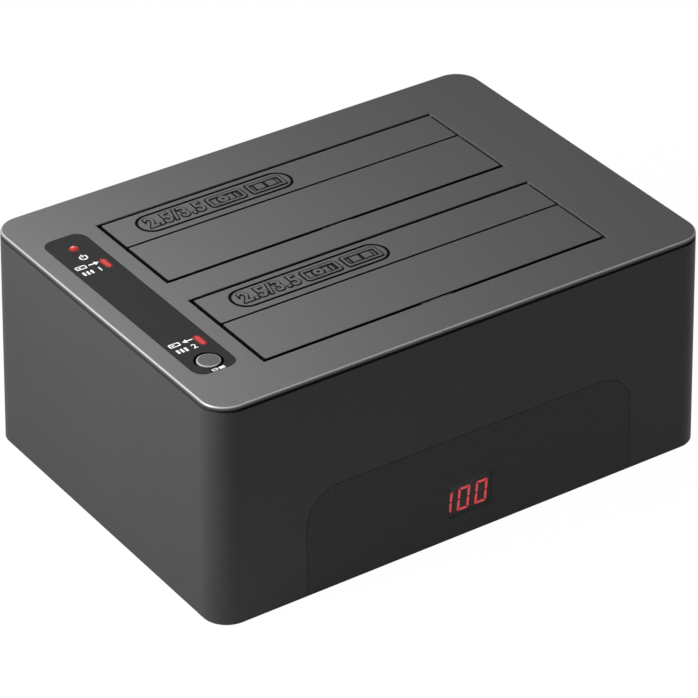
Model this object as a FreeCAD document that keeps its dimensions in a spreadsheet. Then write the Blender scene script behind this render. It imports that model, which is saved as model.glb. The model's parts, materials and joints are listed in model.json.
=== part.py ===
"""Two-bay drive duplicator: a standing dock whose two wells each take a 3.5-inch or 2.5-inch drive.

Frame: +X right along the long side, -Y towards the display, +Z up.
The origin is the centre of the footprint, on the plane that the feet stand on. Millimetres and degrees.
"""
import FreeCAD
import Part
import Sketcher

import math
import os

# ---------------------------------------------------------------- driving sizes
SIZES = {
    # outer body; its length and depth follow from the bays and these margins
    "end_margin": 22.1,
    "front_margin": 12.7,
    "body_height": 63.0,
    "draft_angle": 1.02,
    "corner_radius": 7.0,
    "wall": 2.4,
    "rim_height": 0.9,
    "rim_round": 0.7,
    "groove_height": 0.9,
    "groove_depth": 0.7,
    "lip_depth": 4.0,
    "lip_thickness": 1.2,
    "lip_clearance": 0.15,
    "post_radius": 3.2,
    "post_inset_x": 9.0,
    "post_inset_y": 8.8,
    # drive bays
    "bay_length": 105.1,
    "bay_width": 34.6,
    "bay_rib": 9.5,
    "collar_depth": 3.6,
    "collar_wall": 1.5,
    "collar_end": 2.6,
    # flaps over the bays
    "flap_thickness": 2.0,
    "flap_side_gap": 1.0,
    "flap_split_gap": 0.5,
    "rear_flap_reach": 14.15,
    "rear_hinge_gap": 0.95,
    "front_hinge_gap": 1.05,
    "hinge_depth": 1.6,
    "barrel_radius": 1.3,
    "nose_round": 0.3,
    "pin_radius": 0.6,
    "pin_fit": 0.05,
    "pin_seat": 1.8,
    "seat_fit": 0.02,
    "pill_length": 46.8,
    "pill_width": 8.9,
    "pill_radius": 4.0,
    "pill_end": 8.45,
    "pill_inset": 2.75,
    "pill_line": 0.6,
    "pill_depth": 0.35,
    # return springs
    "spring_notch": 10.0,
    "spring_skin": 0.5,
    "spring_wire": 0.36,
    "spring_gap": 0.1,
    "spring_turns": 14.0,
    "spring_leg": 7.0,
    "spring_leg_thickness": 0.29,
    "spring_foot": 1.0,
    # wells
    "well_wall": 1.5,
    "well_floor": 15.4,
    "well_floor_thickness": 1.6,
    "well_ear": 4.2,
    "well_ear_width": 7.0,
    "well_ear_thickness": 2.0,
    "well_screw_radius": 0.8,
    "well_screw_head": 1.7,
    "well_screw_head_height": 0.8,
    "well_screw_grip": 3.2,
    # drive sockets
    "drive_offset": 20.68,
    "drive_datum": 3.5,
    "drive_clearance": 0.35,
    "socket_length": 42.0,
    "socket_width": 7.0,
    "plug_length": 37.6,
    "plug_width": 4.6,
    "plug_height": 5.0,
    "socket_slot": 1.7,
    "socket_slot_depth": 5.4,
    "signal_slot": 8.5,
    "power_slot": 22.3,
    "slot_spacing": 1.9,
    "socket_clearance": 0.7,
    "contact_pitch": 1.27,
    "contact_width": 0.7,
    "contact_height": 4.5,
    "contact_thickness": 0.25,
    # status strip on the lid
    "strip_end_margin": 15.85,
    "strip_side_margin": 4.9,
    "strip_shift": 0.5,
    "strip_radius": 3.4,
    "strip_recess": 0.3,
    "strip_thickness": 0.25,
    "strip_clearance": 0.1,
    "power_lamp_inset": 6.6,
    "power_lamp_radius": 1.1,
    "power_lamp_rise": 0.7,
    "bay_lamp_length": 4.3,
    "bay_lamp_width": 1.4,
    "bay_lamp_gap": 0.4,
    "lamp_flange": 0.6,
    "lamp_flange_thickness": 0.9,
    "lamp_fit": 0.05,
    # copy button
    "button_inset": 5.2,
    "button_radius": 3.15,
    "button_gap": 0.65,
    "button_rise": 0.1,
    "button_round": 0.5,
    "button_lug_reach": 1.35,
    "button_lug_width": 3.0,
    "button_lug_thickness": 1.0,
    "button_play": 0.2,
    "button_travel": 0.5,
    "button_stem": 1.5,
    "plunger_radius": 1.7,
    "plunger_height": 0.7,
    "switch_size": 6.0,
    "switch_height": 3.5,
    "switch_well": 1.2,
    # indicator board
    "indicator_depth": 6.6,
    "indicator_thickness": 1.0,
    "indicator_ear_gap": 0.55,
    "indicator_wall_gap": 3.05,
    "indicator_end_gap": 0.6,
    "stake_radius": 0.7,
    "stake_fit": 0.14,
    "stake_boss": 1.9,
    "stake_gap": 2.7,
    # front window and display
    "window_width": 100.7,
    "window_height": 30.1,
    "window_offset": 0.9,
    "window_radius": 10.0,
    "window_seam": 0.12,
    "window_flange": 1.6,
    "window_flange_thickness": 1.0,
    "window_skin": 0.9,
    "digit_height": 6.75,
    "digit_width": 3.67,
    "digit_pitch": 5.47,
    "digit_stroke": 0.72,
    "digit_gap": 0.2,
    "digit_slant": 5.3,
    "digit_middle": 11.4,
    "digit_x": -8.57,
    "digit_relief": 0.15,
    "module_length": 23.0,
    "module_height": 10.4,
    "module_depth": 6.0,
    "module_fit": 0.15,
    "display_board_length": 60.0,
    "display_board_height": 18.0,
    "display_board_thickness": 1.2,
    # base
    "foot_height": 1.2,
    "foot_radius": 6.0,
    "foot_taper": 0.5,
    "foot_inset": 16.5,
    "base_thickness": 2.0,
    "base_clearance": 0.2,
    "ledge_width": 1.6,
    "ledge_height": 1.6,
    "base_screw_radius": 1.4,
    "base_screw_head": 2.6,
    "base_screw_head_height": 1.0,
    "base_screw_length": 11.0,
    "screw_fit": 0.2,
    "vent_length": 26.0,
    "vent_width": 2.0,
    "vent_pitch": 5.0,
    # main board
    "standoff_height": 3.0,
    "standoff_radius": 2.8,
    "standoff_inset": 5.0,
    "board_post_gap": 0.45,
    "board_front_margin": 11.45,
    "board_rear_margin": 3.45,
    "board_thickness": 1.6,
    "board_screw_radius": 1.2,
    "board_screw_head": 2.2,
    "board_screw_head_height": 1.2,
    # parts on the main board
    "bridge_side": 14.0,
    "bridge_height": 1.4,
    "bridge_x": 14.0,
    "memory_side": 9.0,
    "memory_height": 1.2,
    "memory_x": -24.0,
    "driver_side": 5.0,
    "driver_height": 1.0,
    "driver_x": 36.0,
    "inductor_side": 7.0,
    "inductor_height": 3.0,
    "inductor_pitch": 11.0,
    "inductor_x": -30.0,
    "capacitor_radius": 3.15,
    "capacitor_height": 5.2,
    "capacitor_pitch": 8.0,
    "capacitor_x": -42.0,
    # rear connectors and switch
    "connector_gap": 0.25,
    "connector_depth": 13.0,
    "connector_well_gap": 1.38,
    "connector_set_back": 0.4,
    "usb_x": -8.0,
    "usb_width": 12.0,
    "usb_height": 12.6,
    "usb_waist": 8.8,
    "usb_neck": 7.4,
    "usb_bevel": 1.4,
    "usb_shell": 0.4,
    "usb_tongue_width": 5.5,
    "usb_tongue_low": 2.5,
    "usb_tongue_height": 3.2,
    "usb_tongue_set_back": 1.6,
    "usb_upper_low": 9.3,
    "usb_upper_height": 1.5,
    "inlet_x": -36.0,
    "inlet_width": 9.0,
    "inlet_height": 11.0,
    "inlet_bore": 3.15,
    "inlet_bore_depth": 10.6,
    "inlet_pin": 1.05,
    "inlet_pin_length": 9.5,
    "rocker_x": 34.0,
    "rocker_z": 16.0,
    "rocker_width": 10.0,
    "rocker_height": 6.4,
    "rocker_pivot_depth": 1.0,
    "rocker_rise": 0.45,
    "rocker_tilt": 8.0,
    "rocker_gap": 0.3,
    "rocker_edge": 0.3,
    "rocker_keel": 2.5,
    "rocker_keel_inset": 1.9,
    "rocker_frame": 2.2,
    "rocker_frame_wall": 1.2,
    "rocker_depth": 8.0,
    "rocker_recess": 2.2,
}

VENT_ROWS = 7
SIGNAL_BLADES = 7
POWER_BLADES = 15


class Size:
    """A number together with the expression that the document works it out from."""

    def __init__(self, value, text):
        self.value = value
        self.text = text

    @staticmethod
    def of(other):
        return other if isinstance(other, Size) else Size(float(other), str(other))

    def __add__(self, other):
        other = Size.of(other)
        return Size(self.value + other.value, "(%s + %s)" % (self.text, other.text))

    def __sub__(self, other):
        other = Size.of(other)
        return Size(self.value - other.value, "(%s - %s)" % (self.text, other.text))

    def __mul__(self, other):
        other = Size.of(other)
        return Size(self.value * other.value, "(%s * %s)" % (self.text, other.text))

    def __truediv__(self, other):
        other = Size.of(other)
        return Size(self.value / other.value, "(%s / %s)" % (self.text, other.text))

    def __radd__(self, other):
        return Size.of(other) + self

    def __rsub__(self, other):
        return Size.of(other) - self

    def __rmul__(self, other):
        return Size.of(other) * self

    def __neg__(self):
        return Size(-self.value, "(-1 * %s)" % self.text)

    def tangent(self):
        return Size(math.tan(math.radians(self.value)), "tan(%s * 1 deg)" % self.text)


class Sizes:
    """The spreadsheet's cells, each read as a Size by its alias."""

    def __getattr__(self, name):
        return Size(float(SIZES[name]), "sizes." + name)


doc = FreeCAD.newDocument("drive_duplicator")
sheet = doc.addObject("Spreadsheet::Sheet", "sizes")
for row, (alias, number) in enumerate(SIZES.items(), start=1):
    sheet.set("A%d" % row, alias)
    sheet.set("B%d" % row, str(number))
    sheet.setAlias("B%d" % row, alias)
doc.recompute()

s = Sizes()
ZERO = Size(0.0, "0")
nodes = []


# ---------------------------------------------------------------- document helpers
def bind(thing, prop, size):
    """Set a property to a size and bind it to the size's expression."""
    size = Size.of(size)
    if "." not in prop:
        setattr(thing, prop, size.value)
    thing.setExpression(prop, size.text)


def keep(thing, label):
    """Name a finished sub-part and put it on the list of nodes to write."""
    thing.Label = label
    nodes.append(thing)
    return thing


def new_body(name):
    return doc.addObject("PartDesign::Body", name)


def new_sketch(body, role, offset=ZERO):
    """A sketch on one of the body's own origin planes, moved along the plane's normal."""
    made = body.newObject("Sketcher::SketchObject", body.Name + "_sketch")
    plane = next(f for f in body.Origin.OriginFeatures if f.Role == role)
    made.AttachmentSupport = [(plane, "")]
    made.MapMode = "FlatFace"
    bind(made, "AttachmentOffset.Base.z", offset)
    return made


def hold(sketch, kind, where, size):
    """Add one dimension to a sketch, bound to its size."""
    size = Size.of(size)
    number = sketch.addConstraint(Sketcher.Constraint(kind, *where, size.value))
    sketch.setExpression("Constraints[%d]" % number, size.text)


def point(pair):
    return FreeCAD.Vector(Size.of(pair[0]).value, Size.of(pair[1]).value, 0)


def draw_polygon(sketch, corners):
    """A closed outline of straight edges through the given corners."""
    first = sketch.GeometryCount
    count = len(corners)
    for i in range(count):
        line = Part.LineSegment(point(corners[i]), point(corners[(i + 1) % count]))
        sketch.addGeometry(line, False)
    for i in range(count):
        after = first + (i + 1) % count
        sketch.addConstraint(Sketcher.Constraint("Coincident", first + i, 2, after, 1))
        hold(sketch, "DistanceX", (-1, 1, first + i, 1), corners[i][0])
        hold(sketch, "DistanceY", (-1, 1, first + i, 1), corners[i][1])


def draw_circle(sketch, centre, radius):
    index = sketch.GeometryCount
    up = FreeCAD.Vector(0, 0, 1)
    sketch.addGeometry(Part.Circle(point(centre), up, Size.of(radius).value), False)
    hold(sketch, "DistanceX", (-1, 1, index, 3), centre[0])
    hold(sketch, "DistanceY", (-1, 1, index, 3), centre[1])
    hold(sketch, "Radius", (index,), radius)


def draw_flats(sketch, centre, radius, sides=8):
    """A ring of flats at a radius from the centre, for hidden posts, bores, holes and recesses."""
    x, y = centre
    reach = radius * (1 / math.cos(math.pi / sides))
    turns = [(2 * i + 1) * math.pi / sides for i in range(sides)]
    draw_polygon(sketch, [
        (x + reach * math.cos(turn), y + reach * math.sin(turn)) for turn in turns
    ])


def draw_rounded(sketch, low, high, radius):
    """A rectangle from its low to its high corner with four equal tangent corner arcs."""
    first = sketch.GeometryCount
    x0, y0 = point(low).x, point(low).y
    x1, y1 = point(high).x, point(high).y
    r = Size.of(radius).value
    vector = FreeCAD.Vector
    sides = [
        (vector(x0 + r, y0, 0), vector(x1 - r, y0, 0)),
        (vector(x1, y0 + r, 0), vector(x1, y1 - r, 0)),
        (vector(x1 - r, y1, 0), vector(x0 + r, y1, 0)),
        (vector(x0, y1 - r, 0), vector(x0, y0 + r, 0)),
    ]
    centres = [(x1 - r, y0 + r), (x1 - r, y1 - r), (x0 + r, y1 - r), (x0 + r, y0 + r)]
    for i, (start, end) in enumerate(sides):
        sketch.addGeometry(Part.LineSegment(start, end), False)
        circle = Part.Circle(vector(*centres[i], 0), vector(0, 0, 1), r)
        turn = (i - 1) * math.pi / 2
        sketch.addGeometry(Part.ArcOfCircle(circle, turn, turn + math.pi / 2), False)
    for i in range(4):
        line, arc, after = first + 2 * i, first + 2 * i + 1, first + (2 * i + 2) % 8
        sketch.addConstraint(Sketcher.Constraint("Tangent", line, 2, arc, 1))
        sketch.addConstraint(Sketcher.Constraint("Tangent", arc, 2, after, 1))
        sketch.addConstraint(Sketcher.Constraint("Vertical" if i % 2 else "Horizontal", line))
        if i:
            sketch.addConstraint(Sketcher.Constraint("Equal", first + 1, arc))
    hold(sketch, "Radius", (first + 1,), radius)
    hold(sketch, "DistanceY", (-1, 1, first, 1), low[1])
    hold(sketch, "DistanceX", (-1, 1, first + 2, 1), high[0])
    hold(sketch, "DistanceY", (-1, 1, first + 4, 1), high[1])
    hold(sketch, "DistanceX", (-1, 1, first + 6, 1), low[0])


def rectangle(low, high):
    return [low, (high[0], low[1]), high, (low[0], high[1])]


def pad(body, sketch, length, symmetric=False):
    """Raise a sketch along its normal, or half each way."""
    made = body.newObject("PartDesign::Pad", body.Name + "_pad")
    made.Profile = sketch
    bind(made, "Length", length)
    made.SideType = "Symmetric" if symmetric else "One side"
    doc.recompute()
    return made


def cut(body, sketch, length, symmetric=False):
    """Cut a sketch out of the body along its normal, or half each way."""
    before = body.Shape.Volume
    made = body.newObject("PartDesign::Pocket", body.Name + "_pocket")
    made.Profile = sketch
    bind(made, "Length", length)
    made.SideType = "Symmetric" if symmetric else "One side"
    made.Reversed = not symmetric
    doc.recompute()
    if not body.Shape.Volume < before:
        raise RuntimeError("a pocket of %s cuts nothing" % body.Name)
    return made


def revolve(body, sketch):
    """Turn a half outline once round the sketch's upright axis."""
    made = body.newObject("PartDesign::Revolution", body.Name + "_turn")
    made.Profile = sketch
    made.ReferenceAxis = (sketch, ["V_Axis"])
    made.Angle = 360
    doc.recompute()
    return made


def fillet(body, radius, wanted):
    """Round those edges of the body that the test picks out."""
    tip = body.Tip
    edges = ["Edge%d" % (i + 1) for i, e in enumerate(tip.Shape.Edges) if wanted(e)]
    made = body.newObject("PartDesign::Fillet", body.Name + "_fillet")
    made.Base = (tip, edges)
    bind(made, "Radius", radius)
    doc.recompute()
    return made


def move(thing, x, y, z):
    for axis, size in zip("xyz", (x, y, z)):
        bind(thing, "Placement.Base." + axis, size)


def box(name, low, high):
    """A block from its low to its high corner."""
    made = doc.addObject("Part::Box", name)
    for prop, a, b in zip(("Length", "Width", "Height"), low, high):
        bind(made, prop, Size.of(b) - a)
    move(made, *low)
    return made


AXIS_TURN = {
    "X": FreeCAD.Rotation(FreeCAD.Vector(0, 1, 0), 90),
    "Y": FreeCAD.Rotation(FreeCAD.Vector(1, 0, 0), -90),
    "Z": FreeCAD.Rotation(),
}


def rod(name, base, radius, length, axis="Z"):
    """A cylinder that grows from its base point along +X, +Y or +Z."""
    made = doc.addObject("Part::Cylinder", name)
    bind(made, "Radius", radius)
    bind(made, "Height", length)
    made.Placement.Rotation = AXIS_TURN[axis]
    move(made, *base)
    return made


def prism(name, base, radius, length, sides=8, axis="Z"):
    """A bar with flats, whose corners lie at the radius, growing from its base along an axis."""
    made = doc.addObject("Part::Prism", name)
    made.Polygon = sides
    bind(made, "Circumradius", radius)
    bind(made, "Height", length)
    made.Placement.Rotation = AXIS_TURN[axis]
    move(made, *base)
    return made


def fuse(name, members):
    made = doc.addObject("Part::MultiFuse", name)
    made.Shapes = members
    return made


def subtract(name, base, tool):
    made = doc.addObject("Part::Cut", name)
    made.Base = base
    made.Tool = tool
    return made


def group(name, members):
    """Separate like solids that share one node."""
    made = doc.addObject("Part::Compound", name)
    made.Links = members
    return made


def corners_of(x, y):
    """The four places (+-x, +-y)."""
    return [(x, y), (-x, y), (-x, -y), (x, -y)]


# ---------------------------------------------------------------- levels and places
z_bottom = s.foot_height
z_top = z_bottom + s.body_height
z_seam = z_top - s.rim_height - s.groove_height
z_base = z_bottom + s.base_thickness
z_board = z_base + s.standoff_height
z_board_top = z_board + s.board_thickness
z_collar = z_seam - s.collar_depth
z_hinge = z_top - s.hinge_depth
z_indicator = z_seam - s.indicator_depth
slope = s.draft_angle.tangent()
body_length = s.bay_length + s.end_margin * 2
connector_lean = (z_top - z_board_top - s.usb_height) * slope
rear_margin = (s.well_wall + s.connector_well_gap + s.connector_depth
               + s.connector_set_back - connector_lean)
body_depth = s.front_margin + s.bay_width * 2 + s.bay_rib + rear_margin


def half_length(z):
    return body_length / 2 + (z_top - z) * slope


def half_depth(z):
    return body_depth / 2 + (z_top - z) * slope


def outline(sketch, z, inset):
    """The body's rounded outline at a height, moved inwards."""
    x = half_length(z) - inset
    y = half_depth(z) - inset
    draw_rounded(sketch, (-x, -y), (x, y), s.corner_radius - inset)


class Bay:
    """The places of one drive bay: 1 is the rear bay, 2 the front bay."""

    def __init__(self, number):
        self.number = number
        self.rear = body_depth / 2 - rear_margin - (s.bay_width + s.bay_rib) * (number - 1)
        self.front = self.rear - s.bay_width
        self.x = s.bay_length / 2
        self.middle = (self.front + self.rear) / 2
        self.split = self.rear - s.rear_flap_reach
        self.rear_hinge = self.rear - s.rear_hinge_gap - s.barrel_radius
        self.front_hinge = self.front + s.front_hinge_gap + s.barrel_radius
        self.socket = self.rear_hinge - s.hinge_depth - s.drive_clearance - s.drive_datum


bays = [Bay(1), Bay(2)]
post_x = body_length / 2 - s.post_inset_x
post_places = corners_of(post_x, body_depth / 2 - s.post_inset_y)
ear_x = s.bay_length / 2 + s.well_wall + s.well_ear / 2
ear_end = ear_x + s.well_ear / 2
board_end = post_x - s.post_radius - s.board_post_gap
board_front = s.board_front_margin - body_depth / 2
board_rear = body_depth / 2 - s.board_rear_margin
standoff_places = [
    (x, y)
    for y in (board_front + s.standoff_inset, board_rear - s.standoff_inset)
    for x in (s.standoff_inset - board_end, board_end - s.standoff_inset)
]

strip_x = s.strip_shift - (s.bay_length + s.end_margin) / 2
strip_half_width = s.end_margin / 2 - s.strip_side_margin
strip_half_length = body_depth / 2 - s.strip_end_margin
power_lamp_y = strip_half_length - s.power_lamp_inset
button_y = s.button_inset - strip_half_length
bay_lamp_x = -(ear_end + s.bay_lamp_gap + s.lamp_flange + s.bay_lamp_width / 2)
indicator_right = -(ear_end + s.indicator_ear_gap)
indicator_left = s.wall + s.indicator_wall_gap - body_length / 2
indicator_half_length = strip_half_length - s.indicator_end_gap
indicator_x = (indicator_left + indicator_right) / 2
stake_ys = [
    button_y + s.switch_size / 2 + s.stake_boss + s.stake_gap,
    (bays[0].middle + bays[1].middle) / 2,
]


# ---------------------------------------------------------------- casing
def make_housing():
    """Four drafted walls with a ledge for the base, open to the lid, the base and the window."""
    body = new_body("housing")
    for kind, inset in (("PartDesign::AdditiveLoft", ZERO), ("PartDesign::SubtractiveLoft", s.wall)):
        ends = []
        for z in (z_bottom, z_seam):
            ends.append(new_sketch(body, "XY_Plane", z))
            outline(ends[-1], z, inset)
        loft = body.newObject(kind, "housing_loft")
        loft.Profile = ends[0]
        loft.Sections = [ends[1]]
        loft.Ruled = True
        doc.recompute()
    ledge = new_sketch(body, "XY_Plane", z_base)
    outline(ledge, z_base, s.wall / 2)
    outline(ledge, z_base, s.wall + s.ledge_width)
    pad(body, ledge, s.ledge_height)

    recess_x = (s.rocker_width / 2 + s.rocker_frame + s.rocker_gap)
    recess_z = (s.rocker_height / 2 + s.rocker_frame + s.rocker_gap)
    inside = half_depth(z_seam) - s.wall
    backing = new_sketch(body, "XZ_Plane", -inside)
    low = (s.rocker_x - recess_x - s.wall, s.rocker_z - recess_z - s.wall)
    high = (s.rocker_x + recess_x + s.wall, s.rocker_z + recess_z + s.wall)
    draw_polygon(backing, rectangle(low, high))
    backing_pad = pad(body, backing, s.rocker_recess)
    bind(backing_pad, "Length2", s.wall)
    backing_pad.SideType = "Two sides"
    doc.recompute()

    behind = half_depth(z_seam) - s.wall - s.ledge_width
    window = new_sketch(body, "XZ_Plane", behind)
    draw_rounded(window, *window_span(ZERO), s.window_radius)
    cut(body, window, s.wall + s.ledge_width + z_top * slope)
    relief = new_sketch(body, "XZ_Plane", behind)
    reach = s.window_width / 2 + s.window_flange + s.base_clearance
    draw_polygon(relief, rectangle(
        (s.window_offset - reach, z_base),
        (s.window_offset + reach, z_base + s.ledge_height)))
    cut(body, relief, half_depth(z_base) - s.wall - behind)

    outside = half_depth(z_bottom)
    skin = new_sketch(body, "XZ_Plane", -outside)
    draw_polygon(skin, rectangle(
        (s.rocker_x - recess_x, s.rocker_z - recess_z),
        (s.rocker_x + recess_x, s.rocker_z + recess_z),
    ))
    cut(body, skin, s.rocker_recess + (z_seam - z_bottom) * slope)
    through = new_sketch(body, "XZ_Plane", -outside)
    gap = s.connector_gap
    half = s.rocker_width / 2 + s.rocker_frame_wall
    tall = s.rocker_height / 2 + s.rocker_frame_wall
    draw_polygon(through, rectangle(
        (s.rocker_x - half - gap, s.rocker_z - tall - gap),
        (s.rocker_x + half + gap, s.rocker_z + tall + gap),
    ))
    for x, width, height in (
        (s.usb_x, s.usb_width, s.usb_height),
        (s.inlet_x, s.inlet_width, s.inlet_height),
    ):
        draw_polygon(through, rectangle(
            (x - width / 2 - gap, z_board_top - gap),
            (x + width / 2 + gap, z_board_top + height + gap),
        ))
    cut(body, through, s.rocker_recess + s.wall * 2 + (z_seam - z_bottom) * slope)
    keep(body, "housing")


def window_span(grow):
    """The low and high corners of the window's outline in the front wall; it runs out below."""
    x = s.window_width / 2
    low = (s.window_offset - x - grow, z_bottom - s.window_radius * 2)
    high = (s.window_offset + x + grow, z_bottom + s.window_height + grow)
    return low, high


def make_cover():
    """The lid: a rimmed plate with a collar round each bay opening and posts for the base screws."""
    body = new_body("top_cover")
    plate = new_sketch(body, "XY_Plane", z_top - s.rim_height)
    outline(plate, z_top, ZERO)
    pad(body, plate, s.rim_height)
    step = new_sketch(body, "XY_Plane", z_seam)
    outline(step, z_top, s.groove_depth)
    pad(body, step, s.groove_height)
    lip = new_sketch(body, "XY_Plane", z_seam - s.lip_depth)
    outline(lip, z_top, s.wall + s.lip_clearance)
    outline(lip, z_top, s.wall + s.lip_clearance + s.lip_thickness)
    pad(body, lip, s.lip_depth)
    top = z_top.value
    fillet(body, s.rim_round, lambda e: all(abs(v.Point.z - top) < 1e-6 for v in e.Vertexes))

    collars = new_sketch(body, "XY_Plane", z_collar)
    for bay in bays:
        x = bay.x + s.collar_end
        draw_polygon(collars, rectangle(
            (-x, bay.front - s.collar_wall), (x, bay.rear + s.collar_wall)))
    pad(body, collars, s.collar_depth)
    ears = new_sketch(body, "XY_Plane", z_collar)
    for bay in bays:
        for side in (-1, 1):
            ends = sorted((side * (bay.x + s.collar_end / 2), side * ear_end),
                          key=lambda size: size.value)
            half = s.well_ear_width / 2
            draw_polygon(ears, rectangle((ends[0], bay.middle - half), (ends[1], bay.middle + half)))
    pad(body, ears, s.collar_depth)
    openings = new_sketch(body, "XY_Plane", z_collar)
    for bay in bays:
        draw_polygon(openings, rectangle((-bay.x, bay.front), (bay.x, bay.rear)))
    cut(body, openings, z_top - z_collar)
    seats = new_sketch(body, "YZ_Plane")
    for bay in bays:
        for y in (bay.front_hinge, bay.rear_hinge):
            draw_flats(seats, (y, z_hinge), s.pin_radius + s.seat_fit)
    cut(body, seats, s.bay_length + s.pin_seat * 2, symmetric=True)

    posts = new_sketch(body, "XY_Plane", z_base)
    for place in post_places:
        draw_flats(posts, place, s.post_radius)
    pad(body, posts, z_seam - z_base)
    pilots = new_sketch(body, "XY_Plane", z_base)
    for place in post_places:
        draw_flats(pilots, place, s.base_screw_radius + s.seat_fit)
    cut(body, pilots, s.base_screw_length)
    ear_holes = new_sketch(body, "XY_Plane", z_collar)
    for bay in bays:
        for x in (-ear_x, ear_x):
            draw_flats(ear_holes, (x, bay.middle), s.well_screw_radius + s.seat_fit)
    cut(body, ear_holes, s.collar_depth)

    recess = new_sketch(body, "XY_Plane", z_top - s.strip_recess)
    draw_rounded(recess, *strip_span(ZERO), s.strip_radius)
    cut(body, recess, s.strip_recess)
    holes = new_sketch(body, "XY_Plane", z_seam)
    draw_lamp_windows(holes)
    draw_circle(holes, (strip_x, button_y), s.button_radius + s.button_gap)
    cut(body, holes, z_top - z_seam)
    bosses = new_sketch(body, "XY_Plane", z_indicator)
    for y in stake_ys:
        draw_flats(bosses, (indicator_x, y), s.stake_boss)
    pad(body, bosses, s.indicator_depth)
    stakes = new_sketch(body, "XY_Plane", z_indicator - s.indicator_thickness)
    for y in stake_ys:
        draw_flats(stakes, (indicator_x, y), s.stake_radius)
    pad(body, stakes, s.indicator_thickness)
    keep(body, "top_cover")


def strip_span(inset):
    x, y = strip_half_width - inset, strip_half_length - inset
    return (strip_x - x, -y), (strip_x + x, y)


def draw_lamp_windows(sketch):
    """The holes for the round power lamp and the oblong bay lamps."""
    draw_circle(sketch, (strip_x, power_lamp_y), s.power_lamp_radius + s.lamp_fit)
    for bay in bays:
        x, y = s.bay_lamp_width / 2 + s.lamp_fit, s.bay_lamp_length / 2 + s.lamp_fit
        draw_polygon(sketch, rectangle(
            (bay_lamp_x - x, bay.middle - y), (bay_lamp_x + x, bay.middle + y)))


def make_base():
    """The bottom plate: screw holes, cooling slots and board standoffs."""
    body = new_body("base_plate")
    plate = new_sketch(body, "XY_Plane", z_bottom)
    outline(plate, z_bottom, s.wall + s.base_clearance)
    pad(body, plate, s.base_thickness)
    standoffs = new_sketch(body, "XY_Plane", z_base)
    for place in standoff_places:
        draw_flats(standoffs, place, s.standoff_radius)
    pad(body, standoffs, s.standoff_height)
    pilots = new_sketch(body, "XY_Plane", z_base)
    for place in standoff_places:
        draw_flats(pilots, place, s.board_screw_radius + s.seat_fit)
    cut(body, pilots, s.standoff_height)
    heads = new_sketch(body, "XY_Plane", z_bottom)
    for place in post_places:
        draw_flats(heads, place, s.base_screw_head + s.screw_fit, 16)
    cut(body, heads, s.base_screw_head_height)
    shanks = new_sketch(body, "XY_Plane", z_bottom)
    for place in post_places:
        draw_flats(shanks, place, s.base_screw_radius + s.screw_fit)
    cut(body, shanks, s.base_thickness)
    slot = new_sketch(body, "XY_Plane", z_bottom)
    first = -s.vent_pitch * ((VENT_ROWS - 1) / 2)
    for side in (-1, 1):
        middle = side * (s.vent_length / 2 + s.vent_pitch)
        draw_polygon(slot, rectangle(
            (middle - s.vent_length / 2, first - s.vent_width / 2),
            (middle + s.vent_length / 2, first + s.vent_width / 2)))
    slot_cut = cut(body, slot, s.base_thickness)
    row = body.newObject("PartDesign::LinearPattern", "vent_row")
    row.Originals = [slot_cut]
    row.Direction = (slot, ["V_Axis"])
    bind(row, "Length", s.vent_pitch * (VENT_ROWS - 1))
    row.Occurrences = VENT_ROWS
    body.Tip = row
    doc.recompute()
    keep(body, "base_plate")


def make_window():
    """The front window, leaning with the wall, with a flange behind and a thin place for digits."""
    body = new_body("front_window")
    thick = s.wall + s.window_flange_thickness
    for grow, back, depth in (
        (-s.window_seam, thick, thick),
        (s.window_flange, thick, s.window_flange_thickness - s.seat_fit),
    ):
        shape = new_sketch(body, "XZ_Plane", -back)
        low, high = window_span(grow)
        low = (low[0], low[1] - z_bottom)
        high = (high[0], high[1] - z_bottom)
        draw_rounded(shape, low, high, s.window_radius + grow)
        pad(body, shape, depth)
    for top, depth in (
        (ZERO, thick),
        (s.base_thickness + s.base_clearance, s.window_flange_thickness),
    ):
        below = new_sketch(body, "XZ_Plane", -thick)
        draw_polygon(below, rectangle(
            (s.window_offset - s.window_width, -s.window_height),
            (s.window_offset + s.window_width, top)))
        cut(body, below, depth)
    pocket = new_sketch(body, "XZ_Plane", -thick)
    x, z = s.module_length / 2 + s.module_fit, s.module_height / 2 + s.module_fit
    draw_polygon(pocket, rectangle(
        (digit_middle_x - x, s.digit_middle - z - z_bottom),
        (digit_middle_x + x, s.digit_middle + z - z_bottom)))
    cut(body, pocket, s.wall + s.window_flange_thickness - s.window_skin)
    lean(body)
    keep(body, "front_window")


digit_middle_x = s.digit_x + s.digit_pitch + s.digit_width / 2


def lean(thing):
    """Set a thing that is built upright behind y = 0 against the leaning front wall."""
    thing.Placement.Rotation = FreeCAD.Rotation(FreeCAD.Vector(1, 0, 0), -s.draft_angle.value)
    bind(thing, "Placement.Rotation.Angle", -s.draft_angle)
    move(thing, ZERO, -half_depth(z_bottom), z_bottom)


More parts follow.
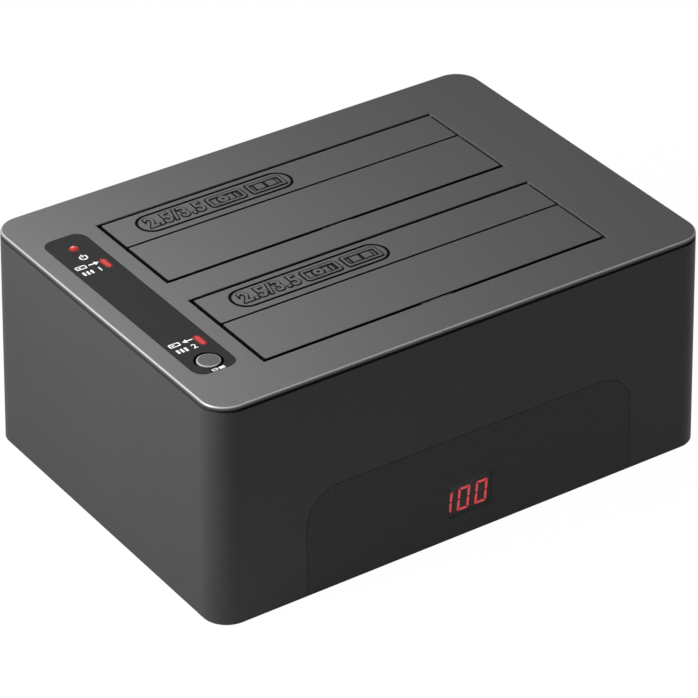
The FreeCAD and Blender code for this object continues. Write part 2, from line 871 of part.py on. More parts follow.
# ---------------------------------------------------------------- flaps and their hinges
def make_flap(bay, rear):
    """One flap, closed: a slab with a hinge barrel along its outer edge and a notch for the spring."""
    name = "%s_flap_%d" % ("rear" if rear else "front", bay.number)
    hinge = bay.rear_hinge if rear else bay.front_hinge
    side = 1 if rear else -1
    free = bay.split + side * s.flap_split_gap / 2
    nose = hinge + side * s.barrel_radius
    low, high = (free, nose) if rear else (nose, free)
    length = s.bay_length - s.flap_side_gap * 2

    body = new_body(name)
    slab = new_sketch(body, "YZ_Plane")
    draw_polygon(slab, rectangle((low, z_top - s.flap_thickness), (high, z_top)))
    pad(body, slab, length, symmetric=True)
    top, edge = z_top.value, nose.value
    fillet(body, s.nose_round, lambda e: all(
        abs(v.Point.z - top) < 1e-6 and abs(v.Point.y - edge) < 1e-6 for v in e.Vertexes))
    barrel = new_sketch(body, "YZ_Plane")
    draw_circle(barrel, (hinge, z_hinge), s.barrel_radius)
    pad(body, barrel, length, symmetric=True)
    notch = new_sketch(body, "XY_Plane", z_hinge - s.barrel_radius * 2)
    x, y = s.spring_notch / 2, s.barrel_radius * 2
    draw_polygon(notch, rectangle((-x, hinge - y), (x, hinge + y)))
    cut(body, notch, s.hinge_depth - s.spring_skin + s.barrel_radius * 2)
    bore = new_sketch(body, "YZ_Plane")
    draw_flats(bore, (hinge, z_hinge), s.pin_radius + s.pin_fit, 12)
    cut(body, bore, length, symmetric=True)
    if rear:
        pill = new_sketch(body, "XY_Plane", z_top - s.pill_depth)
        left, back = s.pill_end - bay.x, bay.rear - s.pill_inset
        for inset in (ZERO, s.pill_line):
            draw_rounded(
                pill,
                (left + inset, back - s.pill_width + inset),
                (left + s.pill_length - inset, back - inset),
                s.pill_radius - inset,
            )
        cut(body, pill, s.pill_depth)
    keep(body, name)


def make_pin(bay, rear):
    """The steel hinge pin, seated in the lid's collar at both ends."""
    name = "hinge_pin_%s_%d" % ("rear" if rear else "front", bay.number)
    length = s.bay_length + s.pin_seat * 2
    y = bay.rear_hinge if rear else bay.front_hinge
    keep(rod(name, (-length / 2, y, z_hinge), s.pin_radius, length, "X"), name)


def make_spring(bay, rear):
    """A close-wound torsion spring round the pin: a leg under the flap, a foot to the collar."""
    name = "return_spring_%s_%d" % ("rear" if rear else "front", bay.number)
    hinge = bay.rear_hinge if rear else bay.front_hinge
    inner = s.pin_radius + s.spring_gap
    thick = s.spring_leg_thickness
    half = s.spring_wire * s.spring_turns / 2
    coil = subtract(
        name + "_coil",
        prism(name + "_outer", (-half, hinge, z_hinge), inner + s.spring_wire, half * 2, 12, "X"),
        prism(name + "_inner", (-half, hinge, z_hinge), inner, half * 2, 12, "X"),
    )
    bottom = z_hinge - inner - (s.spring_wire + thick) / 2
    leg_end = hinge - s.spring_leg if rear else hinge
    leg = box(name + "_leg", (-half, leg_end, bottom),
              (thick - half, leg_end + s.spring_leg, bottom + thick))
    foot_end = hinge if rear else hinge - s.spring_foot
    foot = box(name + "_foot", (half - thick, foot_end, bottom),
               (half, foot_end + s.spring_foot, bottom + thick))
    keep(fuse(name, [coil, leg, foot]), name)


# ---------------------------------------------------------------- wells and drive sockets
def make_well(bay):
    """The box that guides a drive, open at the top, with a slot for the socket and two ears."""
    name = "drive_well_%d" % bay.number
    body = new_body(name)
    walls = new_sketch(body, "XY_Plane", s.well_floor - s.well_floor_thickness)
    grow = s.well_wall
    draw_polygon(walls, rectangle(
        (-bay.x - grow, bay.front - grow), (bay.x + grow, bay.rear + grow)))
    pad(body, walls, z_collar - s.well_floor + s.well_floor_thickness)
    ears = new_sketch(body, "XY_Plane", z_collar - s.well_ear_thickness)
    half = s.well_ear_width / 2
    draw_polygon(ears, rectangle(
        (-bay.x - grow - s.well_ear, bay.middle - half),
        (bay.x + grow + s.well_ear, bay.middle + half)))
    pad(body, ears, s.well_ear_thickness)
    space = new_sketch(body, "XY_Plane", s.well_floor)
    draw_polygon(space, rectangle((-bay.x, bay.front), (bay.x, bay.rear)))
    cut(body, space, z_collar - s.well_floor)
    slot = new_sketch(body, "XY_Plane", s.well_floor - s.well_floor_thickness)
    x = s.socket_length / 2 + s.socket_clearance
    y = s.socket_width / 2 + s.socket_clearance
    draw_polygon(slot, rectangle(
        (-s.drive_offset - x, bay.socket - y), (-s.drive_offset + x, bay.socket + y)))
    cut(body, slot, s.well_floor_thickness)
    holes = new_sketch(body, "XY_Plane", z_collar - s.well_ear_thickness)
    for x in (-ear_x, ear_x):
        draw_flats(holes, (x, bay.middle), s.well_screw_radius + s.screw_fit)
    cut(body, holes, s.well_ear_thickness)
    keep(body, name)


def make_socket(bay):
    """The drive socket on the main board: a broad foot, a narrow nose and its two keyed slots."""
    name = "drive_socket_%d" % bay.number
    body = new_body(name)
    for length, width, height in (
        (s.socket_length, s.socket_width, s.well_floor - z_board_top),
        (s.plug_length, s.plug_width, s.well_floor - z_board_top + s.plug_height),
    ):
        block = new_sketch(body, "XY_Plane", z_board_top)
        draw_polygon(block, rectangle(
            (-s.drive_offset - length / 2, bay.socket - width / 2),
            (-s.drive_offset + length / 2, bay.socket + width / 2)))
        pad(body, block, height)
    slots = new_sketch(body, "XY_Plane", s.well_floor + s.plug_height - s.socket_slot_depth)
    for start, end in socket_slots():
        y = s.socket_slot / 2
        draw_polygon(slots, [
            (start, bay.socket - y),
            (end, bay.socket - y),
            (end, bay.socket + y),
            (start + s.socket_slot, bay.socket + y),
            (start + s.socket_slot, bay.socket + y * 2),
            (start, bay.socket + y * 2),
        ])
    cut(body, slots, s.socket_slot_depth)
    keep(body, name)


def socket_slots():
    """The x span of the signal slot and of the power slot."""
    total = s.signal_slot + s.slot_spacing + s.power_slot
    start = -s.drive_offset - total / 2
    middle = start + s.signal_slot
    return [(start, middle), (middle + s.slot_spacing, start + total)]


def make_contacts(bay):
    """The signal and power blades against the front wall of the slots."""
    name = "socket_contacts_%d" % bay.number
    blades = []
    for (start, end), count in zip(socket_slots(), (SIGNAL_BLADES, POWER_BLADES)):
        first = (start + end) / 2 - s.contact_pitch * ((count - 1) / 2)
        for i in range(count):
            x = first + s.contact_pitch * i
            y = bay.socket - s.socket_slot / 2
            bottom = s.well_floor + s.plug_height - s.socket_slot_depth
            blades.append(box(
                "%s_%d" % (name, len(blades) + 1),
                (x - s.contact_width / 2, y, bottom),
                (x + s.contact_width / 2, y + s.contact_thickness, bottom + s.contact_height),
            ))
    keep(group(name, blades), name)


def screw(name, x, y, z, shank, length, head, head_height, down=False):
    """A screw whose shank leaves its head at z, upwards or down; hidden heads have six flats."""
    head_at = (x, y, z if down else z - head_height)
    shank_at = (x, y, z - length if down else z)
    return fuse(name, [
        head(name + "_head", head_at, head_height),
        prism(name + "_shank", shank_at, shank, length),
    ])


def make_screws():
    def pan_head(name, place, height):
        return prism(name, place, s.base_screw_head, height, 16)

    def board_head(name, place, height):
        return prism(name, place, s.board_screw_head, height, 6)

    def well_head(name, place, height):
        return prism(name, place, s.well_screw_head, height, 6)

    base = [
        screw("base_screw_%d" % i, x, y, z_bottom + s.base_screw_head_height, s.base_screw_radius,
              s.base_screw_length, pan_head, s.base_screw_head_height)
        for i, (x, y) in enumerate(post_places, start=1)
    ]
    keep(group("base_screws", base), "base_screws")
    board = [
        screw("board_screw_%d" % i, x, y, z_board_top, s.board_screw_radius,
              s.board_thickness + s.standoff_height, board_head, s.board_screw_head_height, True)
        for i, (x, y) in enumerate(standoff_places, start=1)
    ]
    keep(group("board_screws", board), "board_screws")
    ears = [(x, bay.middle) for bay in bays for x in (-ear_x, ear_x)]
    well = [
        screw("well_screw_%d" % i, x, y, z_collar - s.well_ear_thickness, s.well_screw_radius,
              s.well_ear_thickness + s.well_screw_grip, well_head, s.well_screw_head_height)
        for i, (x, y) in enumerate(ears, start=1)
    ]
    keep(group("well_screws", well), "well_screws")


# ---------------------------------------------------------------- strip, lamps and button
def make_strip():
    """The dark film in its shallow seat in the lid."""
    body = new_body("status_strip")
    film = new_sketch(body, "XY_Plane", z_top - s.strip_recess)
    low, high = strip_span(s.strip_clearance)
    draw_rounded(film, low, high, s.strip_radius - s.strip_clearance)
    draw_lamp_windows(film)
    draw_circle(film, (strip_x, button_y), s.button_radius + s.button_gap)
    pad(body, film, s.strip_thickness)
    keep(body, "status_strip")


def make_lamps():
    """Light pipes from the indicator board to the strip: a domed one and two oblong ones."""
    z_chip = z_indicator
    z_film = z_top - s.strip_recess + s.strip_thickness
    z_shoulder = z_seam - s.lamp_flange_thickness
    body = new_body("power_lamp")
    half = new_sketch(body, "XZ_Plane")
    r, rise = s.power_lamp_radius, s.power_lamp_rise
    dome = [
        (r * math.cos(math.radians(turn)), z_film + rise * math.sin(math.radians(turn)))
        for turn in (0, 30, 60)
    ]
    draw_polygon(half, [(ZERO, z_chip), (r, z_chip), *dome, (ZERO, z_film + rise)])
    revolve(body, half)
    move(body, strip_x, power_lamp_y, ZERO)
    keep(body, "power_lamp")
    for bay in bays:
        name = "bay_lamp_%d" % bay.number
        lens = new_body(name)
        for grow, low, high in ((ZERO, z_chip, z_film), (s.lamp_flange, z_shoulder, z_seam)):
            shape = new_sketch(lens, "XY_Plane", low)
            a, b = s.bay_lamp_width / 2 + grow, s.bay_lamp_length / 2 + grow
            draw_polygon(shape, rectangle(
                (bay_lamp_x - a, bay.middle - b), (bay_lamp_x + a, bay.middle + b)))
            pad(lens, shape, high - low)
        keep(lens, name)


def make_button():
    """The copy button's cap with two retaining lugs and a stem, and the plunger it stands on."""
    z_plunger = z_indicator + s.switch_height
    z_stem = z_plunger + s.plunger_height
    z_lug = z_seam - s.button_play - s.button_lug_thickness
    z_cap = z_top + s.button_rise
    r = s.button_radius
    bevel = s.button_round * (1 - math.sqrt(0.5))
    body = new_body("button_cap")
    half = new_sketch(body, "XZ_Plane")
    draw_polygon(half, [
        (ZERO, z_stem),
        (s.button_stem, z_stem),
        (s.button_stem, z_lug),
        (r, z_lug),
        (r, z_cap - s.button_round),
        (r - bevel, z_cap - bevel),
        (r - s.button_round, z_cap),
        (ZERO, z_cap),
    ])
    revolve(body, half)
    lugs = new_sketch(body, "XY_Plane", z_lug)
    reach, side = r + s.button_lug_reach, s.button_lug_width / 2
    draw_polygon(lugs, rectangle((-reach, -side), (reach, side)))
    pad(body, lugs, s.button_lug_thickness)
    move(body, strip_x, button_y, ZERO)
    keep(body, "button_cap")

    plunger = prism("switch_plunger", (strip_x, button_y, z_plunger - s.button_travel),
                    s.plunger_radius, s.plunger_height + s.button_travel, 12)
    keep(plunger, "switch_plunger")

    half = s.switch_size / 2
    case = box("copy_switch_case",
               (strip_x - half, button_y - half, z_plunger - s.switch_height),
               (strip_x + half, button_y + half, z_plunger))
    well = prism("copy_switch_well", (strip_x, button_y, z_plunger - s.switch_well),
                 s.plunger_radius + s.pin_fit, s.switch_well, 12)
    keep(subtract("copy_switch", case, well), "copy_switch")


def make_indicator_board():
    """The narrow board under the strip, staked to two bosses of the lid, with its lamps."""
    bottom = z_indicator - s.indicator_thickness
    plate = box("indicator_plate", (indicator_left, -indicator_half_length, bottom),
                (indicator_right, indicator_half_length, z_indicator))
    holes = [
        prism("stake_hole_%d" % i, (indicator_x, y, bottom),
              s.stake_radius + s.stake_fit, s.indicator_thickness)
        for i, y in enumerate(stake_ys, start=1)
    ]
    board = subtract("indicator_board", plate, fuse("stake_holes", holes))
    keep(board, "indicator_board")


# ---------------------------------------------------------------- display
def leaning_block(name, low, high):
    """A block given by its corners behind the leaning wall: x, depth behind its face, height."""
    body = new_body(name)
    face = new_sketch(body, "XZ_Plane", -high[1])
    draw_polygon(face, rectangle((low[0], low[2] - z_bottom), (high[0], high[2] - z_bottom)))
    pad(body, face, high[1] - low[1])
    lean(body)
    return body


def make_display():
    """The digit module in the window's pocket, its lit bars and the upright board behind it."""
    face = s.window_skin + s.module_fit + s.digit_relief
    x, z = s.module_length / 2, s.module_height / 2
    back = face + s.module_depth
    module = leaning_block("display_module", (digit_middle_x - x, face, s.digit_middle - z),
                           (digit_middle_x + x, back, s.digit_middle + z))
    keep(module, "display_module")
    wide = s.display_board_length / 2
    bottom = z_base + s.base_clearance
    board = leaning_block(
        "display_board", (digit_middle_x - wide, back, bottom),
        (digit_middle_x + wide, back + s.display_board_thickness, bottom + s.display_board_height))
    keep(board, "display_board")

    bars = new_body("display_bars")
    shape = new_sketch(bars, "XZ_Plane", -face)
    for place, lit in enumerate(("bc", "abcdef", "abcdef")):
        for bar in lit:
            draw_polygon(shape, digit_bar(place, bar))
    pad(bars, shape, s.digit_relief)
    lean(bars)
    keep(bars, "display_bars")


def digit_bar(place, bar):
    """The corners of one slanted bar, a to f, of a digit; a is the top bar and they go clockwise."""
    left = s.digit_x + s.digit_pitch * place
    w, half, t = s.digit_width, s.digit_height / 2, s.digit_stroke
    gap = s.digit_gap
    corners = {
        "a": [(gap, half), (w - gap, half), (w - t - gap, half - t), (t + gap, half - t)],
        "b": [(w, half - gap), (w, gap), (w - t, gap), (w - t, half - t - gap)],
        "c": [(w, -gap), (w, gap - half), (w - t, t + gap - half), (w - t, -gap)],
        "d": [(gap, -half), (t + gap, t - half), (w - t - gap, t - half), (w - gap, -half)],
        "e": [(ZERO, -gap), (t, -gap), (t, t + gap - half), (ZERO, gap - half)],
        "f": [(ZERO, half - gap), (t, half - t - gap), (t, gap), (ZERO, gap)],
    }[bar]
    tilt = s.digit_slant.tangent()
    middle = s.digit_middle - z_bottom
    return [(left + x + (z + half) * tilt, middle + z) for x, z in corners]


# ---------------------------------------------------------------- feet
def make_feet():
    """Four rubber discs, a little narrower at the floor, glued under the base plate."""
    feet = []
    places = corners_of(body_length / 2 - s.foot_inset, body_depth / 2 - s.foot_inset)
    for i, (x, y) in enumerate(places, start=1):
        foot = doc.addObject("Part::Cone", "foot_%d" % i)
        bind(foot, "Radius1", s.foot_radius - s.foot_taper)
        bind(foot, "Radius2", s.foot_radius)
        bind(foot, "Height", s.foot_height)
        move(foot, x, y, ZERO)
        feet.append(foot)
    keep(group("rubber_feet", feet), "rubber_feet")


# ---------------------------------------------------------------- main board
def make_main_board():
    """The board on its standoffs."""
    plate = box("main_plate", (-board_end, board_front, z_board),
                (board_end, board_rear, z_board_top))
    holes = [
        prism("board_hole_%d" % i, (x, y, z_board), s.board_screw_radius + s.screw_fit,
              s.board_thickness)
        for i, (x, y) in enumerate(standoff_places, start=1)
    ]
    keep(subtract("main_board", plate, fuse("board_holes", holes)), "main_board")


def square_part(name, x, y, side, height):
    """A square part that stands on the main board."""
    half = side / 2
    return box(name, (x - half, y - half, z_board_top), (x + half, y + half, z_board_top + height))


def make_board_parts():
    """The chips, coils and capacitors, between the two sockets and ahead of the front one."""
    between = (bays[0].socket + bays[1].socket) / 2
    ahead = (bays[1].socket + board_front) / 2
    keep(group("controller_chips", [
        square_part("bridge_chip", s.bridge_x, between, s.bridge_side, s.bridge_height),
        square_part("memory_chip", s.memory_x, ahead, s.memory_side, s.memory_height),
        square_part("driver_chip", s.driver_x, ahead, s.driver_side, s.driver_height),
    ]), "controller_chips")
    coils = [
        square_part("inductor_%d" % (i + 1), s.inductor_x + s.inductor_pitch * i, between,
                    s.inductor_side, s.inductor_height)
        for i in range(2)
    ]
    keep(group("power_inductors", coils), "power_inductors")
    cans = [
        prism("capacitor_%d" % (i + 1),
              (s.capacitor_x, between + s.capacitor_pitch * (i - 0.5), z_board_top),
              s.capacitor_radius, s.capacitor_height, 12)
        for i in range(2)
    ]
    keep(group("capacitors", cans), "capacitors")


# ---------------------------------------------------------------- rear connectors and switch
def connector_face():
    """How far back the connectors reach: just inside the leaning rear wall's face."""
    return half_depth(z_board_top + s.usb_height) - s.connector_set_back


def make_usb_port():
    """A type-B data port: a folded shell with two cut corners and a step, and its tongue."""
    front = connector_face()
    x, w, z = s.usb_x, s.usb_width / 2, z_board_top
    neck = s.usb_neck / 2

    def rim(inset):
        return [
            (x - w + inset, z + inset),
            (x + w - inset, z + inset),
            (x + w - inset, z + s.usb_waist - s.usb_bevel - inset),
            (x + neck - inset, z + s.usb_waist - inset),
            (x + neck - inset, z + s.usb_height - inset),
            (x - neck + inset, z + s.usb_height - inset),
            (x - neck + inset, z + s.usb_waist - inset),
            (x - w + inset, z + s.usb_waist - s.usb_bevel - inset),
        ]

    shell = new_body("usb_shell")
    outer = new_sketch(shell, "XZ_Plane", -front)
    draw_polygon(outer, rim(ZERO))
    pad(shell, outer, s.connector_depth)
    inner = new_sketch(shell, "XZ_Plane", -front)
    draw_polygon(inner, rim(s.usb_shell))
    cut(shell, inner, s.connector_depth - s.usb_shell)
    keep(shell, "usb_shell")

    back = front - s.connector_depth + s.usb_shell
    tip = front - s.usb_tongue_set_back
    half = s.usb_tongue_width / 2
    low, upper = z + s.usb_tongue_low, z + s.usb_upper_low
    tongue = box("usb_tongue_bar", (x - half, back, low),
                 (x + half, tip, low + s.usb_tongue_height))
    block = box("usb_tongue_upper", (x - half, back, upper),
                (x + half, tip, upper + s.usb_upper_height))
    plate = new_body("usb_back")
    face = new_sketch(plate, "XZ_Plane", -back - s.usb_shell)
    draw_polygon(face, rim(s.usb_shell + s.seat_fit))
    pad(plate, face, s.usb_shell)
    keep(fuse("usb_tongue", [tongue, block, plate]), "usb_tongue")


def make_power_inlet():
    """The round power inlet: a square body with a blind bore and its centre pin."""
    front = connector_face()
    x, half = s.inlet_x, s.inlet_width / 2
    z_axis = z_board_top + s.inlet_height - half
    floor = front - s.inlet_bore_depth
    body = box("inlet_block", (x - half, front - s.connector_depth, z_board_top),
               (x + half, front, z_board_top + s.inlet_height))
    bore = rod("inlet_bore", (x, floor, z_axis), s.inlet_bore, s.inlet_bore_depth, "Y")
    keep(subtract("power_inlet", body, bore), "power_inlet")
    pin = prism("inlet_pin", (x, floor, z_axis), s.inlet_pin, s.inlet_pin_length, 12, "Y")
    keep(pin, "inlet_pin")


def make_rocker():
    """The power rocker, resting with its left end pressed, and the frame that it snaps into."""
    floor = half_depth(z_bottom) - s.rocker_recess - (z_seam - z_bottom) * slope
    face = floor + s.rocker_recess / 2
    x, z = s.rocker_x, s.rocker_z
    w, h = s.rocker_width / 2, s.rocker_height / 2
    flange = box("rocker_flange", (x - w - s.rocker_frame, floor, z - h - s.rocker_frame),
                 (x + w + s.rocker_frame, face, z + h + s.rocker_frame))
    side = s.rocker_frame_wall
    case = box("rocker_case", (x - w - side, face - s.rocker_depth, z - h - side),
               (x + w + side, floor, z + h + side))
    space = box("rocker_space", (x - w, face - s.rocker_depth + side, z - h), (x + w, face, z + h))
    keep(subtract("rocker_frame", fuse("rocker_shell", [flange, case]), space), "rocker_frame")

    body = new_body("power_rocker")
    shape = new_sketch(body, "XY_Plane", -(h - s.rocker_gap))
    reach = w - s.rocker_gap
    edge = reach - s.rocker_edge
    keel = reach - s.rocker_keel_inset
    rise = s.rocker_pivot_depth + s.rocker_rise
    draw_polygon(shape, [
        (-reach, -s.rocker_rise),
        (-reach, s.rocker_rise),
        (-edge, rise),
        (ZERO, rise - edge * s.rocker_tilt.tangent()),
        (edge, rise),
        (reach, s.rocker_rise),
        (reach, -s.rocker_rise),
        (keel, -s.rocker_keel),
        (-keel, -s.rocker_keel),
    ])
    pad(body, shape, (h - s.rocker_gap) * 2)
    body.Placement.Rotation = FreeCAD.Rotation(FreeCAD.Vector(0, 0, 1), s.rocker_tilt.value)
    bind(body, "Placement.Rotation.Angle", s.rocker_tilt)
    move(body, x, face - s.rocker_pivot_depth, z)
    keep(body, "power_rocker")


# ---------------------------------------------------------------- build and write
def main():
    make_housing()
    make_cover()
    make_base()
    make_window()
    for bay in bays:
        for rear in (True, False):
            make_flap(bay, rear)
            make_pin(bay, rear)
            make_spring(bay, rear)
        make_well(bay)
        make_socket(bay)
        make_contacts(bay)
    make_screws()
    make_strip()
    make_lamps()
    make_button()
    make_indicator_board()
    make_display()
    make_feet()
    make_main_board()
    make_board_parts()
    make_usb_port()
    make_power_inlet()
    make_rocker()
    doc.recompute()

    for thing in doc.Objects:
        if "Invalid" in thing.State or "Error" in thing.State:
            raise RuntimeError("%s failed: %s" % (thing.Name, thing.State))
    for node in nodes:
        if node.Shape.isNull() or not node.Shape.isValid():
            raise RuntimeError("%s has no valid shape" % node.Label)
    os.makedirs("parts", exist_ok=True)
    for node in nodes:
        node.Shape.exportStep("parts/%s.step" % node.Label)


main()
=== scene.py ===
"""The looks of the two-bay drive duplicator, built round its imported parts.

Metres in the part's own frame: +X right, -Y towards the display, +Z up, feet at z = 0.
"""

import json
import math

import bmesh
import bpy
from mathutils import Euler, Matrix, Vector


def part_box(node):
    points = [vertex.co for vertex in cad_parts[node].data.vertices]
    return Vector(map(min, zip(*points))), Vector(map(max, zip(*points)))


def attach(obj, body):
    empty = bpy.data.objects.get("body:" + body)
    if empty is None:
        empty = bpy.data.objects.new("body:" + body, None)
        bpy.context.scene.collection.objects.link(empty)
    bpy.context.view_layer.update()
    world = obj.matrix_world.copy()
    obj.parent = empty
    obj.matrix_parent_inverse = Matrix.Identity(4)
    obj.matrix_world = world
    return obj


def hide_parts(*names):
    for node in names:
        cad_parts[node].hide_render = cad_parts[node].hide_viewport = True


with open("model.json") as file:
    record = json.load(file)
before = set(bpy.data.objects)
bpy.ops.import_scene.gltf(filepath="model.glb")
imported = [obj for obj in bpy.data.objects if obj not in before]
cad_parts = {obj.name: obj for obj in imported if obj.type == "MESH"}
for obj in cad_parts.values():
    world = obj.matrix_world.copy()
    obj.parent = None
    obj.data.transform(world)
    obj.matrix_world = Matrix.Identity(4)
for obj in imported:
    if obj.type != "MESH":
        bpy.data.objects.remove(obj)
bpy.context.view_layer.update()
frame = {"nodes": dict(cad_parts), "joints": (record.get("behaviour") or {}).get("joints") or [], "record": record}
nodes = frame["nodes"]
scene = bpy.context.scene

MM = 0.001
BAYS = (1, 2)


def middle(node):
    low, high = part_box(node)
    return (low + high) / 2


def joint_place(name):
    return Vector(next(j["pos_m"] for j in frame["joints"] if j["name"] == name))


# ---------------------------------------------------------------- material nodes
class Look:
    """A material under construction, with short calls for the nodes that it needs."""

    def __init__(self, name):
        self.material = bpy.data.materials.new(name)
        self.material.use_nodes = True
        self.tree = self.material.node_tree
        self.tree.nodes.clear()
        self.place = self.add("ShaderNodeTexCoord").outputs["Object"]

    def add(self, kind, **settings):
        made = self.tree.nodes.new(kind)
        for name, value in settings.items():
            setattr(made, name, value)
        return made

    def feed(self, socket, value):
        """Link a socket to another one, or set its constant."""
        if isinstance(value, bpy.types.NodeSocket):
            self.tree.links.new(value, socket)
        else:
            socket.default_value = value

    def maths(self, operation, a, b=0.0):
        made = self.add("ShaderNodeMath", operation=operation)
        self.feed(made.inputs[0], a)
        self.feed(made.inputs[1], b)
        return made.outputs[0]

    def vector(self, operation, a, b=(0.0, 0.0, 0.0)):
        made = self.add("ShaderNodeVectorMath", operation=operation)
        self.feed(made.inputs[0], a)
        self.feed(made.inputs[1], b)
        return made.outputs["Value" if operation == "LENGTH" else "Vector"]

    def along(self, axis):
        """The place along one of the part's axes."""
        made = self.add("ShaderNodeSeparateXYZ")
        self.feed(made.inputs[0], self.place)
        return made.outputs[axis]

    def noise(self, size, detail=2.0, place=None):
        """Noise whose blobs are about the given size across."""
        made = self.add("ShaderNodeTexNoise")
        self.feed(made.inputs["Vector"], place or self.place)
        made.inputs["Scale"].default_value = 1 / size
        made.inputs["Detail"].default_value = detail
        return made.outputs["Fac"]

    def ramp(self, value, start, end, low=0.0, high=1.0):
        """Map a value smoothly from start..end to low..high."""
        made = self.add("ShaderNodeMapRange", interpolation_type="SMOOTHSTEP")
        self.feed(made.inputs["Value"], value)
        made.inputs["From Min"].default_value = start
        made.inputs["From Max"].default_value = end
        self.feed(made.inputs["To Min"], low)
        self.feed(made.inputs["To Max"], high)
        return made.outputs["Result"]

    def spread(self, noise, low=0.0, high=1.0):
        """Map noise, which mostly stays between 0.3 and 0.7, to low..high."""
        return self.ramp(noise, 0.3, 0.7, low, high)

    def blend(self, share, first, second):
        """A colour between two others."""
        made = self.add("ShaderNodeMix", data_type="RGBA")
        self.feed(made.inputs["Factor"], share)
        self.feed(made.inputs["A"], colour4(first))
        self.feed(made.inputs["B"], colour4(second))
        return next(o for o in made.outputs if o.type == "RGBA")

    def bump(self, height, depth, edge=0.0):
        """A normal from a height, over edges that are rounded off by a radius."""
        made = self.add("ShaderNodeBump")
        made.inputs["Strength"].default_value = 1.0
        made.inputs["Distance"].default_value = depth
        self.feed(made.inputs["Height"], height)
        if edge:
            rounded = self.add("ShaderNodeBevel", samples=6)
            rounded.inputs["Radius"].default_value = edge
            self.feed(made.inputs["Normal"], rounded.outputs["Normal"])
        return made.outputs["Normal"]

    def distance(self, centre, half, corner=0.0):
        """How far a point lies outside a box round a centre; negative inside a rounded outline."""
        away = self.vector("ABSOLUTE", self.vector("SUBTRACT", self.place, tuple(centre)))
        past = self.vector("SUBTRACT", away, tuple(value - corner for value in half))
        outside = self.vector("MAXIMUM", past, (0.0, 0.0, 0.0))
        return self.maths("SUBTRACT", self.vector("LENGTH", outside), corner)

    def surface(self, **inputs):
        """The Principled shader, with its inputs by their names in lower case."""
        made = self.add("ShaderNodeBsdfPrincipled")
        for name, value in inputs.items():
            self.feed(made.inputs[name.replace("_", " ").title().replace("Ior", "IOR")], value)
        return made.outputs[0]

    def finish(self, shader):
        out = self.add("ShaderNodeOutputMaterial")
        self.tree.links.new(shader, out.inputs["Surface"])
        return self.material


def colour4(value):
    if isinstance(value, (int, float)):
        return (value, value, value, 1.0)
    if isinstance(value, tuple) and len(value) == 3:
        return (*value, 1.0)
    return value


def scaled(colour, factor):
    return tuple(channel * factor for channel in colour4(colour)[:3])


# ---------------------------------------------------------------- plastics
GRAIN = 0.30 * MM
EDGE = 0.12 * MM


def plastic(name, colour, roughness, depth=0.010 * MM, mottle=0.10, specular=0.3):
    """Moulded plastic with a spark-eroded grain, faint clouding and softened edges."""
    look = Look(name)
    grains = look.noise(GRAIN, 3.0)
    clouds = look.noise(14 * MM)
    mixed = look.maths("ADD", look.maths("MULTIPLY", grains, 0.8),
                       look.maths("MULTIPLY", clouds, 0.2))
    tint = look.blend(look.ramp(mixed, 0.35, 0.65), scaled(colour, 1 - mottle),
                      scaled(colour, 1 + mottle))
    rough = look.spread(grains, roughness - 0.05, roughness + 0.05)
    return look.finish(look.surface(
        base_color=tint, roughness=rough, specular_ior_level=specular,
        normal=look.bump(grains, depth, EDGE)))


def outline_distance(look, box, corner):
    """How far a point lies outside an upright outline; negative just inside it."""
    low, high = box
    return look.distance((low + high) / 2, ((high.x - low.x) / 2, (high.y - low.y) / 2, 1.0), corner)


# Greys, as linear light
LID_GREY = 0.15
# painted highlight: the rim's upper rounding is paler, standing in for the key light's glint
RIM_PAINTED_HIGHLIGHT = 0.44
# painted shade: the rim's lower side is darker, as if in shadow
RIM_SHADE = 0.07
SKIRT_GREY = 0.035
# painted shade: near black, for the gap walls below the paint line
GAP_SHADE = 0.004
WALL_GREY = 0.044
MODULE_GREY = 0.07
BUTTON_GREY = 0.105
# painted highlight on the button's rounded edge
BUTTON_EDGE_HIGHLIGHT = 0.36

# How far the paint reaches down before a painted shade darkens the gap walls, and the places along X where it
# reaches deeper, as painted light on the walls that the key light strikes
LID_DEPTH = 0.35 * MM
FLAP_DEPTH = 0.07 * MM
LIT_RIGHT_WALLS = (52.2 * MM, 52.4 * MM)
PAINTED_LIGHT_DEPTH = 0.50 * MM

# Where a finish, a painted highlight or a painted shade starts and ends, from an outline (negative inside it), a
# centre or the top
LID_CORNER = 7.0 * MM
RIM_BAND = (-0.55 * MM, -0.35 * MM)
SKIRT_BAND = (-3.0 * MM, -2.5 * MM)
RIM_SHINE = (0.50 * MM, 0.05 * MM)
BUTTON_HOLE_SHADE = (4.0 * MM, 4.3 * MM)
FLAP_CORNER = 0.6 * MM
FLAP_EDGE_SHADE = (-0.09 * MM, -0.15 * MM)
PILL_SHADE_BAND = (0.36 * MM, 0.46 * MM)
PILL_LINE = 0.6 * MM
BUTTON_RADIUS = 3.15 * MM
BUTTON_BAND = (-0.55 * MM, -0.30 * MM)
BUTTON_SIDE_SHADE = (0.32 * MM, 0.12 * MM)


